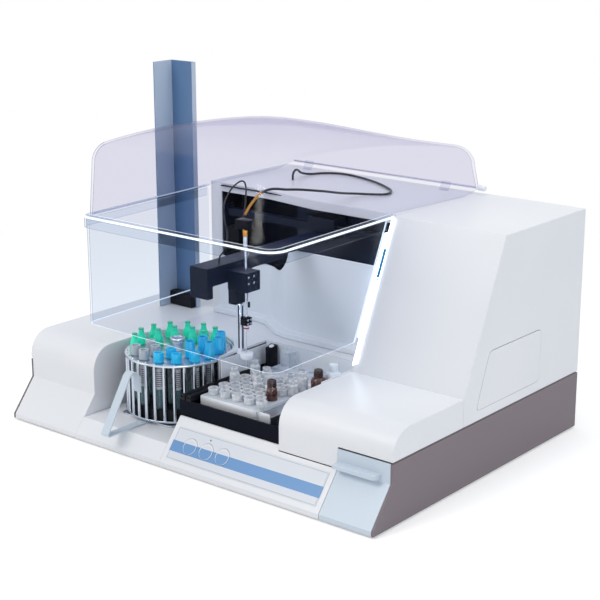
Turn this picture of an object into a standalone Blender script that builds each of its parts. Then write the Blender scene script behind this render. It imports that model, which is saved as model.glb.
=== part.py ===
"""Bench-top coagulation analyzer: hinged hood, sample rotor, needle arm, reagent bay and drawer."""
import math

import bmesh
import bpy

for stale in list(bpy.data.objects):
    bpy.data.objects.remove(stale, do_unlink=True)

# Driving sizes in metres. Depths run back from the front edge of the base, heights up from the table.
gap = 0.0003
overrun = 0.004
sheet = 0.003

# Whole instrument
width = 0.720
depth = 0.537
housing_top = 0.3552
deck_top = 0.1375
lip_height = 0.0105
knee_depth = 0.042
knee_height = 0.0635
panel_top = 0.0926
panel_seam = 0.0023
foot_height = 0.003
foot_radius = 0.016
foot_inset = 0.045
nose_radius = 0.038

# Plan divisions, from the middle of the instrument
fairing_right = -0.2135
rear_housing_left = -0.232
console_left = -0.0325
tall_left = 0.1625
drawer_width = 0.092
drawer_left = width / 2 - drawer_width

# Sloping tall housing
slope_foot = 0.2108
slope_head = 0.309
hatch_low = 0.110
hatch_high = 0.192
hatch_front = 0.2435
hatch_back = 0.418
hatch_lean = 0.031
hatch_corner = 0.009

# Rear housing and the wall of the work area
wall_right_depth = 0.287
wall_left_depth = 0.328
wall_turn_left = -0.105
wall_turn_right = -0.018
wall_turn_shares = ((0.25, 0.15), (0.75, 0.85))
wall_top = 0.280
wall_top_left = 0.234
ledge_height = 0.0095
ledge_reach = 0.015
roof_setback_right = 0.034
roof_setback_left = 0.010
top_front_right = wall_right_depth + roof_setback_right
top_front_left = wall_left_depth + roof_setback_left
fascia_height = 0.015
column_width = 0.024

# Hood
hood_left = -0.208
hood_side_gap = 0.0105
hood_right = tall_left - hood_side_gap
hood_front = 0.0445
hood_back_margin = 0.005
hood_back = depth - hood_back_margin
hood_corner = 0.030
hood_draft = 0.005
hood_shoulder = 0.026
hood_crest_rise = 0.1098
hood_crest_height = housing_top + hood_crest_rise
hood_crest_depth = 0.130
hood_fall = 0.050
hood_crown = 0.006
hood_wall = 0.003
hood_rear_lift = 0.0068
hood_rear_lift_margin = 0.034
hood_rear_lift_start = depth - hood_rear_lift_margin
hood_corner_least_share = 0.15
rim_reach = 0.0090
rim_drop = 0.020
rim_end = 0.316
skirt_bottom = 0.180
skirt_gap = 0.0005
skirt_slope_gap = 0.004
hinge_back_margin = 0.014
hinge_rise = 0.0108
hinge_depth = depth - hinge_back_margin
hinge_height = housing_top + hinge_rise
hinge_pin_radius = 0.003
hinge_barrel_radius = 0.0065
hinge_cap_radius = 0.005
hinge_cap_end = 0.184
lug_width = 0.016
lug_front = 0.006
lug_back = 0.005
lug_crest = 0.006
lug_clearance = 0.0015
lug_notch_height = 0.014
barrel_inset = 0.006

# Rotor bay and sample rotor
rotor_x = -0.126
rotor_depth = 0.141
rotor_radius = 0.083
rotor_top = 0.130
rotor_bottom = 0.0375
bay_radius = 0.0855
bay_wall = 0.0017
bay_floor = 0.033
bay_lip_depth = 0.018
bay_right = -0.0365
rotor_plate = 0.003
rotor_rim = 0.006
rod_count = 36
rod_radius = 0.0017
rod_pin_height = 0.0012
outer_tube_ring = 0.0675
inner_tube_ring = 0.0425
outer_tube_count = 15
inner_tube_count = 9
tube_radius = 0.0065
tube_clearance = 0.0007
cap_radius = 0.0082
cap_neck_radius = 0.0042
cap_height = 0.026
cap_skirt_share = 0.42
cap_neck_share = 0.55
core_radius = 0.076
core_height = 0.0185
core_column_radius = 0.012
knob_radius = 0.0118
knob_height = 0.021
knob_shares = ((0.8, 0), (0.8, 0.6), (1, 0.7), (1, 0.95), (0.9, 1))
knob_stem_radius = 0.004
spindle_radius = 0.005
spindle_height = 0.015
spindle_clearance = 0.0004
tray_thickness = 0.0025
tray_reach = 0.075
tray_rear_reach = 0.060
tray_half_width = 0.055

# Pull handle strip of the rotor tray
strip_thickness = 0.002
strip_width = 0.015
strip_x = -0.124
handle_out = 0.0225
strip_rise = 0.0885
strip_top_depth = 0.0245
strip_hook_depth = 0.0475
strip_hook_drop = 0.010
strip_lean = 148

# Console
console_head = 0.006
console_shell = 0.0025
film_thickness = 0.0005
film_low = 0.009
film_high = 0.060
film_left = -0.024
film_margin = 0.0095
key_radius = 0.0126
key_clearance = 0.0005
key_first = 0.0107
key_pitch = 0.0317
key_along = 0.0345
key_travel = 0.0010
key_body = 0.0038
key_proud = 0.0004

# Reagent bay
reagent_front = 0.050
reagent_back = 0.2495
reagent_wall = 0.0025
reagent_floor = 0.058
reagent_front_top = 0.100
reagent_back_top = 0.132
rail_width = 0.0095
rail_height = 0.0065
rail_spacing = 0.0115
rail_start = 0.060
rail_end = 0.2265
rail_drop = 0.003
rail_groove_share = 0.6
rail_groove_pitch = 0.0085
cooling_left = 0.004
cooling_margin = 0.0355
cooling_right = tall_left - cooling_margin
cooling_back = 0.196
cooling_front = 0.0675
rack_thickness = 0.005
rack_top = 0.1025
rack_left = -0.007
rack_margin = 0.058
rack_right = tall_left - rack_margin
rack_front = 0.0655
rack_back = 0.198
vial_radius = 0.0085
vial_neck_radius = 0.0055
vial_height = 0.030
vial_shoulder_share = 0.7
vial_collar_share = 0.8
vial_pitch = 0.0235
vial_first_x = 0.0055
vial_first_depth = 0.0795
vial_columns = int((rack_right - rack_left - 2 * vial_radius) / vial_pitch) + 1
vial_rows = 5
amber_radius = 0.0115
amber_cap_radius = 0.0075
amber_front_inset = 0.0156
amber_front_x = rack_right - amber_front_inset
amber_front_depth = 0.1147
amber_front_height = 0.032
amber_rear_inset = 0.044
amber_rear_x = tall_left - amber_rear_inset
amber_rear_depth = 0.187
amber_rear_height = 0.0395
bottle_radius = 0.0125
bottle_cap_radius = 0.008
bottle_height = 0.081
bottle_shoulder_share = 0.62
bottle_throat_share = 0.74
bottle_collar_share = 0.77
bottle_neck_share = 0.8
bottle_inset = 0.0335
bottle_x = tall_left - bottle_inset
bottle_depth = 0.210
stirrer_side = 0.0185
stirrer_well_depth = 0.003
stirrer_top = 0.131
stirrer_x = -0.0165
stirrer_depth = 0.2368
block_left = 0.010
block_right = 0.084
block_front = 0.206
block_back = 0.243
block_top = 0.122
well_radius = 0.0055
well_depth = 0.030
well_count = 4

# Needle arm
arm_left = -0.017
arm_right = 0.018
arm_front = 0.057
tip_rise = 0.036
needle_tip = rack_top + tip_rise
arm_rise = 0.1615
arm_top = needle_tip + arm_rise
arm_nose_height = 0.046
arm_nose = arm_top - arm_nose_height
arm_nose_length = 0.012
arm_height = 0.028
arm_bottom = arm_top - arm_height
arm_mid_height = 0.017
arm_mid_bottom = arm_top - arm_mid_height
arm_mid_start = 0.128
arm_mid_end = 0.158
arm_rear_height = 0.011
arm_rear_bottom = arm_top - arm_rear_height
arm_rear_start = 0.228
arm_wall = 0.0025
rail_bar = 0.012
rail_clearance = 0.022
rail_bar_depth = max(wall_left_depth, wall_right_depth) + rail_clearance
arm_back_gap = 0.0045
arm_back = rail_bar_depth - rail_bar / 2 - arm_back_gap
rail_rise = 0.006
rail_bar_height = arm_top + rail_rise
rail_bar_left = -0.205
rail_bar_inset = 0.0055
rail_bar_right = tall_left - rail_bar_inset
rail_bracket = 0.004
carriage_half = 0.026
carriage_reach = 0.024
carriage_back = rail_bar_depth + carriage_reach
carriage_drop = 0.014
carriage_rise = 0.018
carriage_bottom = rail_bar_height - carriage_drop
carriage_top = rail_bar_height + carriage_rise
carriage_clearance = 0.0005
motor_side = 0.028
motor_lead = 0.010
motor_front = rail_bar_depth - motor_lead
motor_length = 0.034
motor_drop = 0.058
motor_height = rail_bar_height - motor_drop
motor_boss_radius = 0.006
motor_boss_height = 0.004
head_left_gap = 0.0006
head_right = 0.056
head_front = 0.099
head_back = 0.129
head_drop = 0.038
head_height = 0.029
head_bottom = arm_top - head_drop
head_top = head_bottom + head_height
head_motor_width = 0.014
head_motor_height = 0.022
head_motor_inset = 0.001
needle_x = 0.041
needle_depth = 0.114
needle_radius = 0.0009
nozzle_radius = 0.0042
nozzle_height = 0.011
needle_block_half = 0.0065
needle_block_height = 0.012
rod_rise = 0.072
rod_top = arm_top + rod_rise
mast_radius = 0.0021
mast_clearance = 0.0004
clamp_rise = 0.053
clamp_bottom = arm_top + clamp_rise
clamp_height = 0.014
clamp_left = 0.027
clamp_right = 0.053
clamp_half_depth = 0.0085
guide_left = 0.024
guide_right = 0.034
guide_half_depth = 0.003
foot_cup_radius = 0.0115
foot_cup_height = 0.011
foot_cup_lift = 0.017
foot_cup_bottom = needle_tip + foot_cup_lift
guide_lap = 0.0045
guide_bottom = foot_cup_bottom + guide_lap
nozzle_clearance = 0.031
nozzle_bottom = foot_cup_bottom + foot_cup_height + nozzle_clearance
foot_cup_hole = 0.002

# Lights, magazine, rear fittings and hidden modules
led_width = 0.0058
led_thickness = 0.0025
led_margin = 0.0008
led_low_share = 0.05
led_high_share = 0.985
magazine_width = 0.055
magazine_gap = 0.015
magazine_left = rear_housing_left - magazine_gap - magazine_width
magazine_front = 0.280
magazine_depth = 0.043
magazine_top = 0.552
magazine_wall = 0.0025
magazine_lip = 0.010
magazine_block_height = 0.024
magazine_block_depth = 0.017
panel_sheet = 0.003
inlet_place_share = 0.44
inlet_x = inlet_place_share * (fairing_right + width / 2) - width / 2
inlet_width = 0.048
inlet_height = 0.028
inlet_z = 0.042
inlet_body = 0.030
inlet_wall = 0.005
inlet_recess = 0.018
inlet_pin_width = 0.004
inlet_pin_length = 0.011
inlet_pin_spacing = 0.012
rocker_place_share = 0.819
rocker_x = rocker_place_share * (fairing_right + width / 2) - width / 2
rocker_width = 0.013
rocker_height = 0.019
rocker_depth = 0.012
rocker_clearance = 0.0008
rocker_shares = ((0, -0.5), (0.12, 0), (0, 0.5), (0.6, 0.42), (1, 0.15), (1, -0.15), (0.6, -0.42))
fan_inset = 0.0525
fan_x = tall_left + fan_inset
fan_z = 0.049
fan_side = 0.078
fan_bore = 0.036
fan_thick = 0.025
fan_hub = 0.012
fan_shaft_radius = 0.0025
fan_shaft_clearance = 0.0003
fan_blade_reach = 0.0335
fan_blades = 7
fan_bar = 0.004
fan_blade_lean = 0.005
fan_blade_thick = 0.0015
fan_blade_inset = 0.002
vent_slots = 9
vent_slot_height = 0.0035
vent_width_share = 0.9
drawer_back = 0.330
drawer_wall = 0.002
drawer_floor = 0.010
drawer_box_top = 0.088
drawer_ledge_high = 0.0745
drawer_ledge_low = 0.0680
drawer_ledge_out = 0.0135
drawer_ledge_end = 0.016
bin_margin = 0.004
bin_top = 0.080
bin_wall = 0.0015
pan_floor = 0.0035
pan_height = 0.010
deck_sheet = 0.0038
supply_left = -0.195
supply_right = -0.065
supply_depth = 0.120
supply_back_margin = 0.017
supply_clearance = 0.020
supply_back = depth - supply_back_margin
supply_front = max(supply_back - supply_depth, wall_left_depth + supply_clearance)
supply_top = 0.225
board_standoff = 0.010
board_post_radius = 0.003
board_post_shares = ((0.06, 0.06), (0.94, 0.06), (0.94, 0.94), (0.06, 0.94))
board_part_shares = ((0.15, 0.2, 0.22, 0.2, 0.05), (0.5, 0.25, 0.16, 0.16, 0.03),
                     (0.15, 0.6, 0.12, 0.3, 0.07), (0.4, 0.62, 0.4, 0.1, 0.08),
                     (0.78, 0.15, 0.1, 0.4, 0.09))
board_thickness = 0.0016
board_width = 0.170
board_back_margin = 0.037
board_back = depth - board_back_margin
board_front = board_back - board_width
board_low = 0.110
board_high = 0.290
pump_inset = 0.068
pump_left = width / 2 - pump_inset
pump_width = 0.042
pump_foot = 0.060
syringe_radius = 0.009
syringe_inset = 0.014
pump_front = 0.275
pump_back = 0.405
pump_low = 0.098
pump_high = 0.200
cable_radius = 0.0019
sample_tube_radius = 0.0012
cord_step_diameters = 3

# Routes of the two cords after their start: x, depth behind the front edge, z
cable_route = [(0.041, 0.130, 0.389), (0.041, 0.155, 0.401), (0.041, 0.213, 0.395),
               (0.041, 0.287, 0.381), (0.039, 0.345, 0.368), (0.038, 0.388, 0.360),
               (0.054, 0.404, 0.3585), (0.068, 0.420, 0.3580), (0.062, 0.443, 0.3578),
               (0.036, 0.466, 0.3578), (0.008, 0.483, 0.3578), (-0.020, 0.496, 0.3578),
               (-0.047, 0.505, 0.3578), (-0.075, 0.511, 0.3578), (-0.098, 0.509, 0.3578),
               (-0.119, 0.495, 0.3578), (-0.131, 0.475, 0.3580), (-0.133, 0.455, 0.3630),
               (-0.130, 0.441, 0.3700), (-0.127, 0.431, 0.3710), (-0.126, 0.425, 0.3660),
               (-0.126, 0.424, 0.3562)]
sample_tube_route = [(0.035, 0.121, 0.382), (0.035, 0.123, 0.398), (0.037, 0.121, 0.413),
                     (0.040, 0.112, 0.423), (0.041, 0.097, 0.422), (0.041, 0.080, 0.411),
                     (0.040, 0.070, 0.392), (0.039, 0.074, 0.370), (0.036, 0.081, 0.352),
                     (0.029, 0.087, 0.334), (0.019, 0.091, 0.320), (0.010, 0.093, 0.311),
                     (0.008, 0.093, 0.3003)]

# Derived places
half = width / 2
front_y = -(depth - handle_out) / 2
back_y = front_y + depth
seam_height = panel_top + panel_seam
inside_foot = foot_height + pan_floor + 2 * gap
arm_middle = (arm_left + arm_right) / 2
tau = 2 * math.pi


def deep(distance):
    """World Y of a distance behind the front edge."""
    return front_y + distance


def place_x(a, b, c):
    return (c, a, b)


def place_y(a, b, c):
    return (a, c, b)


def place_z(a, b, c):
    return (a, b, c)


PLACES = {"x": place_x, "y": place_y, "z": place_z}


def prism(axis, outline, low, high):
    """Closed prism of an outline in the plane square to the axis."""
    place = PLACES[axis]
    count = len(outline)
    corners = [place(a, b, low) for a, b in outline] + [place(a, b, high) for a, b in outline]
    faces = [tuple(range(count)), tuple(range(count, 2 * count))]
    for i in range(count):
        j = (i + 1) % count
        faces.append((i, j, count + j, count + i))
    return corners, faces


def box(x0, x1, y0, y1, z0, z1):
    return prism("z", [(x0, y0), (x1, y0), (x1, y1), (x0, y1)], z0, z1)


def lathe(profile, centre, steps, axis="z"):
    """Closed solid turned from (radius, height) points about an axis through centre."""
    place = PLACES[axis]
    corners = []
    rings = []
    for radius, height in profile:
        if radius == 0:
            rings.append([len(corners)])
            corners.append(place(centre[0], centre[1], height))
            continue
        loop = []
        for k in range(steps):
            angle = tau * k / steps
            loop.append(len(corners))
            corners.append(place(centre[0] + radius * math.cos(angle),
                                 centre[1] + radius * math.sin(angle), height))
        rings.append(loop)
    faces = []
    for low, high in zip(rings, rings[1:]):
        for k in range(steps):
            n = (k + 1) % steps
            if len(low) == 1:
                faces.append((low[0], high[k], high[n]))
            elif len(high) == 1:
                faces.append((low[k], low[n], high[0]))
            else:
                faces.append((low[k], low[n], high[n], high[k]))
    for loop in (rings[0], rings[-1]):
        if len(loop) > 1:
            faces.append(tuple(loop))
    return corners, faces


def cylinder(centre, radius, low, high, steps=24, axis="z"):
    return lathe([(radius, low), (radius, high)], centre, steps, axis)


def ring(centre, inner, outer, low, high, steps):
    """Flat ring about an upright axis."""
    corners = []
    for radius, height in ((inner, low), (outer, low), (outer, high), (inner, high)):
        corners += [(centre[0] + radius * math.cos(tau * k / steps),
                     centre[1] + radius * math.sin(tau * k / steps), height) for k in range(steps)]
    faces = []
    for i in range(4):
        j = (i + 1) % 4
        for k in range(steps):
            n = (k + 1) % steps
            faces.append((i * steps + k, i * steps + n, j * steps + n, j * steps + k))
    return corners, faces


def arc(cx, cy, radius, start, end, steps):
    """Points on an arc, angles in degrees."""
    points = []
    for k in range(steps + 1):
        angle = math.radians(start + (end - start) * k / steps)
        points.append((cx + radius * math.cos(angle), cy + radius * math.sin(angle)))
    return points


def rounded(x0, x1, y0, y1, radius, steps=4):
    """Rectangle with rounded corners, counter-clockwise."""
    return (arc(x0 + radius, y0 + radius, radius, 180, 270, steps)
            + arc(x1 - radius, y0 + radius, radius, 270, 360, steps)
            + arc(x1 - radius, y1 - radius, radius, 0, 90, steps)
            + arc(x0 + radius, y1 - radius, radius, 90, 180, steps))


def offset(path, distance, closed=False):
    """Path moved to its left by a distance, with mitred corners."""
    count = len(path)
    moved = []
    for i in range(count):
        before = path[i - 1] if closed or i else None
        after = path[(i + 1) % count] if closed or i < count - 1 else None
        normals = []
        for a, b in ((before, path[i]), (path[i], after)):
            if a is None or b is None:
                continue
            dx = b[0] - a[0]
            dy = b[1] - a[1]
            length = math.hypot(dx, dy)
            normals.append((-dy / length, dx / length))
        nx = sum(n[0] for n in normals) / len(normals)
        ny = sum(n[1] for n in normals) / len(normals)
        size = nx * nx + ny * ny
        moved.append((path[i][0] + distance * nx / size, path[i][1] + distance * ny / size))
    return moved


def ribbon(path, thickness):
    """Outline of a strip whose right edge is the path."""
    return path + offset(path, thickness)[::-1]


def soften(outline, radius, steps=3):
    """Outline with each corner cut to a short arc."""
    points = []
    count = len(outline)
    for i in range(count):
        here = outline[i]
        for step in range(steps + 1):
            share = step / steps
            spots = []
            for other in (outline[i - 1], outline[(i + 1) % count]):
                length = math.hypot(other[0] - here[0], other[1] - here[1])
                spots.append((here[0] + (other[0] - here[0]) * radius / length,
                              here[1] + (other[1] - here[1]) * radius / length))
            a, b = spots
            points.append(tuple((1 - share) ** 2 * a[k] + 2 * share * (1 - share) * here[k]
                                + share ** 2 * b[k] for k in (0, 1)))
    return points


def new_mesh(name, volumes):
    corners = []
    faces = []
    for points, polygons in volumes:
        start = len(corners)
        corners += points
        faces += [tuple(start + i for i in polygon) for polygon in polygons]
    mesh = bpy.data.meshes.new(name)
    mesh.from_pydata(corners, [], faces)
    bm = bmesh.new()
    bm.from_mesh(mesh)
    bmesh.ops.recalc_face_normals(bm, faces=bm.faces)
    bm.to_mesh(mesh)
    bm.free()
    return mesh


def finish_material(name, finish):
    """Principled material of a sub-part."""
    colour, metallic, roughness, alpha = finish
    material = bpy.data.materials.new(name + "_finish")
    material.use_nodes = True
    shader = material.node_tree.nodes["Principled BSDF"]
    shader.inputs["Base Color"].default_value = (*colour, 1)
    shader.inputs["Metallic"].default_value = metallic
    shader.inputs["Roughness"].default_value = roughness
    shader.inputs["Alpha"].default_value = alpha
    return material


def piece(name, finish, *volumes):
    """Named sub-part with its own material."""
    obj = bpy.data.objects.new(name, new_mesh(name, volumes))
    bpy.context.scene.collection.objects.link(obj)
    obj.data.materials.append(finish_material(name, finish))
    return obj


def boolean(obj, operation, volumes):
    """Cut or join volumes with a hidden helper object."""
    name = obj.name + "_" + operation.lower()
    helper = bpy.data.objects.new(name, new_mesh(name, volumes))
    bpy.context.scene.collection.objects.link(helper)
    helper.hide_render = True
    helper.display_type = "WIRE"
    modifier = obj.modifiers.new(operation.lower(), "BOOLEAN")
    modifier.operation = operation
    modifier.solver = "EXACT"
    modifier.object = helper


def cut(obj, *volumes):
    boolean(obj, "DIFFERENCE", volumes)


def join(obj, *volumes):
    for volume in volumes:
        boolean(obj, "UNION", [volume])


def join_group(obj, *volumes):
    boolean(obj, "UNION", volumes)


WHITE = ((0.86, 0.87, 0.88), 0, 0.35, 1)
TAUPE = ((0.27, 0.24, 0.25), 0, 0.5, 1)
PALE_BLUE = ((0.66, 0.73, 0.80), 0, 0.4, 1)
BLACK = ((0.012, 0.013, 0.016), 0, 0.45, 1)
SILVER = ((0.62, 0.65, 0.68), 1, 0.3, 1)
CLEAR = ((0.85, 0.88, 0.92), 0, 0.05, 0.3)
AMBER = ((0.16, 0.03, 0.008), 0, 0.15, 1)
GREEN_BOARD = ((0.03, 0.22, 0.09), 0, 0.5, 1)

# Base pan with a turned-up edge, and four feet
pan_left = -half + 2 * sheet
pan_right = half - 2 * sheet
pan_front = deep(bay_lip_depth)
pan_back = back_y - 2 * panel_sheet
pan = piece("base_pan", SILVER, box(pan_left, pan_right, pan_front, pan_back, foot_height + gap,
                                    foot_height + gap + pan_floor))
foot_spots = {
    "foot_front_left": (-half + foot_inset, deep(foot_inset)),
    "foot_front_right": (half - foot_inset, deep(foot_inset)),
    "foot_rear_left": (-half + foot_inset, back_y - foot_inset),
    "foot_rear_right": (half - foot_inset, back_y - foot_inset),
}
for name, spot in foot_spots.items():
    piece(name, BLACK, cylinder(spot, foot_radius, 0, foot_height, 16))

# Side panels: flat sheets whose front edge follows the sloping nose, with a recessed strip on top
panel_outline = [(deep(0), foot_height), (deep(0), lip_height), (deep(knee_depth), knee_height),
                 (deep(knee_depth), panel_top), (back_y, panel_top), (back_y, foot_height)]
strip_high = seam_height - gap
for name, side in (("side_panel_right", 1), ("side_panel_left", -1)):
    outer = side * half
    inner = side * (half - sheet)
    seam = side * (half - sheet / 2)
    panel = piece(name, TAUPE, prism("x", panel_outline, min(outer, inner), max(outer, inner)))
    flange = box(min(seam, inner), max(seam, inner), deep(knee_depth) + sheet,
                 back_y - sheet, panel_top - overrun, strip_high)
    join(panel, flange)

# Nose profile shared by the left fairing and the right front cover
nose_back = knee_depth + nose_radius
nose_arc = [(deep(a), b) for a, b in arc(nose_back, deck_top - nose_radius, nose_radius, 180, 90, 8)]

# Left fairing: full-height shell beside the rotor bay
nose_inner = [(deep(y), z) for y, z in arc(nose_back, deck_top - nose_radius,
                                           nose_radius - sheet, 180, 90, 8)]
fairing_outline = ([(pan_front - gap, foot_height), (deep(0), foot_height), (deep(0), lip_height),
                    (deep(knee_depth), knee_height)] + nose_arc
                   + [(back_y, deck_top), (back_y, seam_height), (deep(rotor_depth), seam_height),
                      (deep(rotor_depth), inside_foot), (pan_front - gap, inside_foot)])
fairing_top = ([(deep(knee_depth), seam_height)] + nose_arc
               + [(back_y, deck_top), (back_y, seam_height)])
fairing_inner = ([(deep(sheet), foot_height - overrun), (deep(sheet), lip_height),
                  (deep(knee_depth + sheet), knee_height)] + nose_inner
                 + [(back_y - sheet, deck_top - sheet), (back_y - sheet, foot_height - overrun)])
nose_left = -half + sheet + gap
fairing = piece("left_fairing", WHITE, prism("x", fairing_outline, nose_left, fairing_right))
join(fairing, prism("x", fairing_top, -half, fairing_right - sheet))
cut(fairing, prism("x", fairing_inner, nose_left + sheet, fairing_right - sheet))

# Right front cover: rounded nose over the drawer and the console
cover_bottom = knee_height + gap
cover_outline = ([(deep(knee_depth), cover_bottom)] + nose_arc
                 + [(deep(slope_foot) - gap, deck_top), (deep(slope_foot) - gap, cover_bottom)])
cover_inner = ([(deep(knee_depth + sheet), cover_bottom - overrun)] + nose_inner
               + [(deep(slope_foot) + overrun, deck_top - sheet),
                  (deep(slope_foot) + overrun, cover_bottom - overrun)])
cover = piece("right_front_cover", WHITE, prism("x", cover_outline, tall_left, half))
cut(cover, prism("x", cover_inner, tall_left + sheet, half - sheet))
cut(cover, box(drawer_left - gap, half + overrun, deep(0), deep(depth), 0, seam_height))

# Tall housing: sloping shell on the right with a service hatch
slope = (housing_top - deck_top) / (slope_head - slope_foot)
tall_outline = [(deep(slope_foot), seam_height), (deep(slope_foot), deck_top),
                (deep(slope_head), housing_top), (back_y, housing_top), (back_y, seam_height)]
slope_shift = sheet * math.hypot(1, slope) / slope
tall_inner = [(deep(slope_foot) + sheet, seam_height - overrun),
              (deep(slope_foot) + sheet, deck_top),
              (deep(slope_head) + slope_shift - sheet / slope, housing_top - sheet),
              (back_y - sheet, housing_top - sheet), (back_y - sheet, seam_height - overrun)]
tall = piece("tall_housing", WHITE, prism("x", tall_outline, tall_left, half))
cut(tall, prism("x", tall_inner, tall_left + sheet, half - sheet))
hatch_path = [(deep(hatch_front), hatch_low), (deep(hatch_back), hatch_low),
              (deep(hatch_back), hatch_high), (deep(hatch_front + hatch_lean), hatch_high)]
hatch_outline = soften(hatch_path, hatch_corner)
cut(tall, prism("x", hatch_outline, half - sheet - overrun, half + overrun))
piece("hatch_panel", WHITE, prism("x", offset(hatch_outline, 2 * gap, True), half - sheet, half))

# Light bar on the left margin of the sloping face
slope_length = math.hypot(slope_head - slope_foot, housing_top - deck_top)
slope_unit = ((slope_head - slope_foot) / slope_length, (housing_top - deck_top) / slope_length)


def on_slope(along, out):
    """Point in Y and Z on the sloping face, out from its surface."""
    return (deep(slope_foot) + slope_unit[0] * along - slope_unit[1] * out,
            deck_top + slope_unit[1] * along + slope_unit[0] * out)


led_from = slope_length * led_low_share
led_to = slope_length * led_high_share
led_outline = [on_slope(led_from, gap), on_slope(led_to, gap), on_slope(led_to, led_thickness),
               on_slope(led_from, led_thickness)]
led_left = tall_left + led_margin
piece("led_bar", CLEAR, prism("x", led_outline, led_left, led_left + led_width))

# Rear housing: top plate, fascia and left column, open towards the work area
rear_right = tall_left - gap
rear_foot = deck_top + gap
rear_plan = [(rear_housing_left, deep(top_front_left)), (wall_turn_left, deep(top_front_left)),
             (0, deep(top_front_right)), (rear_right, deep(top_front_right)),
             (rear_right, back_y), (rear_housing_left, back_y)]
rear_cavity = [(rear_housing_left + sheet, deep(top_front_left) + sheet),
               (wall_turn_left, deep(top_front_left) + sheet), (0, deep(top_front_right) + sheet),
               (rear_right - sheet, deep(top_front_right) + sheet),
               (rear_right - sheet, back_y - sheet), (rear_housing_left + sheet, back_y - sheet)]
rear = piece("rear_housing", WHITE, prism("z", rear_plan, rear_foot, housing_top))
cut(rear, prism("z", rear_cavity, rear_foot - overrun, housing_top - sheet))
mouth_left = rear_housing_left + column_width
mouth_front = deep(min(wall_right_depth, wall_left_depth))
mouth_back = deep(max(top_front_left, top_front_right)) + 2 * sheet
cut(rear, box(mouth_left, rear_right + overrun, mouth_front, mouth_back, rear_foot - overrun,
              housing_top - fascia_height))

# Wall of the work area: one bent sheet with a low ledge along its foot
turn_width = wall_turn_right - wall_turn_left
turn_depth = wall_left_depth - wall_right_depth
wall_path = [(mouth_left, deep(wall_left_depth)), (wall_turn_left, deep(wall_left_depth))]
wall_path += [(wall_turn_left + turn_width * a, deep(wall_left_depth - turn_depth * b))
              for a, b in wall_turn_shares]
wall_path += [(wall_turn_right, deep(wall_right_depth)), (rear_right, deep(wall_right_depth))]
wall = piece("rear_wall", WHITE, prism("z", ribbon(wall_path, sheet), rear_foot, wall_top))
scoop = wall_top - wall_top_left
scoop_right = wall_turn_right - 2 * sheet
scoop_outline = ([(mouth_left - overrun, wall_top_left)]
                 + arc(scoop_right - scoop, wall_top, scoop, 270, 360, 6)
                 + [(scoop_right, wall_top + overrun), (mouth_left - overrun, wall_top + overrun)])
cut(wall, prism("y", scoop_outline, deep(wall_right_depth) - overrun,
                deep(wall_left_depth) + 2 * overrun))
ledge_outline = offset(wall_path, -ledge_reach) + offset(wall_path, sheet / 2)[::-1]
join(wall, prism("z", ledge_outline, rear_foot, rear_foot + ledge_height))

# Deck plate around the rotor and behind the reagent bay
deck_left = fairing_right + gap
deck_right = tall_left - gap
deck_round = [(max(x, deck_left), y) for x, y in
              arc(rotor_x, deep(rotor_depth), bay_radius + bay_wall + 2 * gap, 180, 0, 18)]
deck_outline = deck_round + [(bay_right, deep(rotor_depth)), (bay_right, deep(reagent_back) + gap),
                             (deck_right, deep(reagent_back) + gap),
                             (deck_right, back_y - 3 * sheet), (deck_left, back_y - 3 * sheet)]
deck = piece("deck_plate", WHITE, prism("z", deck_outline, deck_top - deck_sheet, deck_top))
join(deck, box(deck_left, deck_right, back_y - 4 * sheet, back_y - 3 * sheet, inside_foot,
               deck_top - deck_sheet / 2))

# Rotor bay: floor with a front lip, and a round wall behind the rotor
bay_left = fairing_right + gap
bay_back = deep(rotor_depth + bay_radius)
floor_right = console_left - gap
floor_outline = [(bay_left, deep(bay_lip_depth)), (floor_right, deep(bay_lip_depth)),
                 (floor_right, deep(reagent_front) - gap), (bay_right - gap, deep(reagent_front) - gap),
                 (bay_right - gap, bay_back), (bay_left, bay_back)]
bay = piece("rotor_bay", WHITE, prism("z", floor_outline, bay_floor - sheet, bay_floor))
lip_profile = [(deep(0), foot_height), (deep(0), lip_height), (deep(bay_lip_depth), bay_floor),
               (deep(bay_lip_depth) + sheet, bay_floor), (deep(bay_lip_depth) + sheet, bay_floor - sheet),
               (deep(bay_lip_depth), bay_floor - sheet - sheet / 2), (deep(sheet), lip_height),
               (deep(sheet), foot_height)]
join(bay, prism("x", lip_profile, bay_left, floor_right))
for low in (bay_left, bay_right - gap - sheet):
    join(bay, box(low, low + sheet, deep(reagent_front), bay_back - sheet, inside_foot,
                  bay_floor - sheet / 2))
bay_round = arc(rotor_x, deep(rotor_depth), bay_radius, 0, 180, 18)
join(bay, prism("z", ribbon(bay_round[::-1], bay_wall), bay_floor - sheet / 2,
                deck_top - deck_sheet - gap))

# Sample rotor: cage of a plate, a ring and rods, turning on the tray's spindle
rotor_y = deep(rotor_depth)
centre = (rotor_x, rotor_y)


def around(radius, count, shift=0.0):
    """Points spaced evenly on a circle about the rotor's axis."""
    return [(rotor_x + radius * math.cos(tau * (k + shift) / count),
             rotor_y + radius * math.sin(tau * (k + shift) / count)) for k in range(count)]


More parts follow.
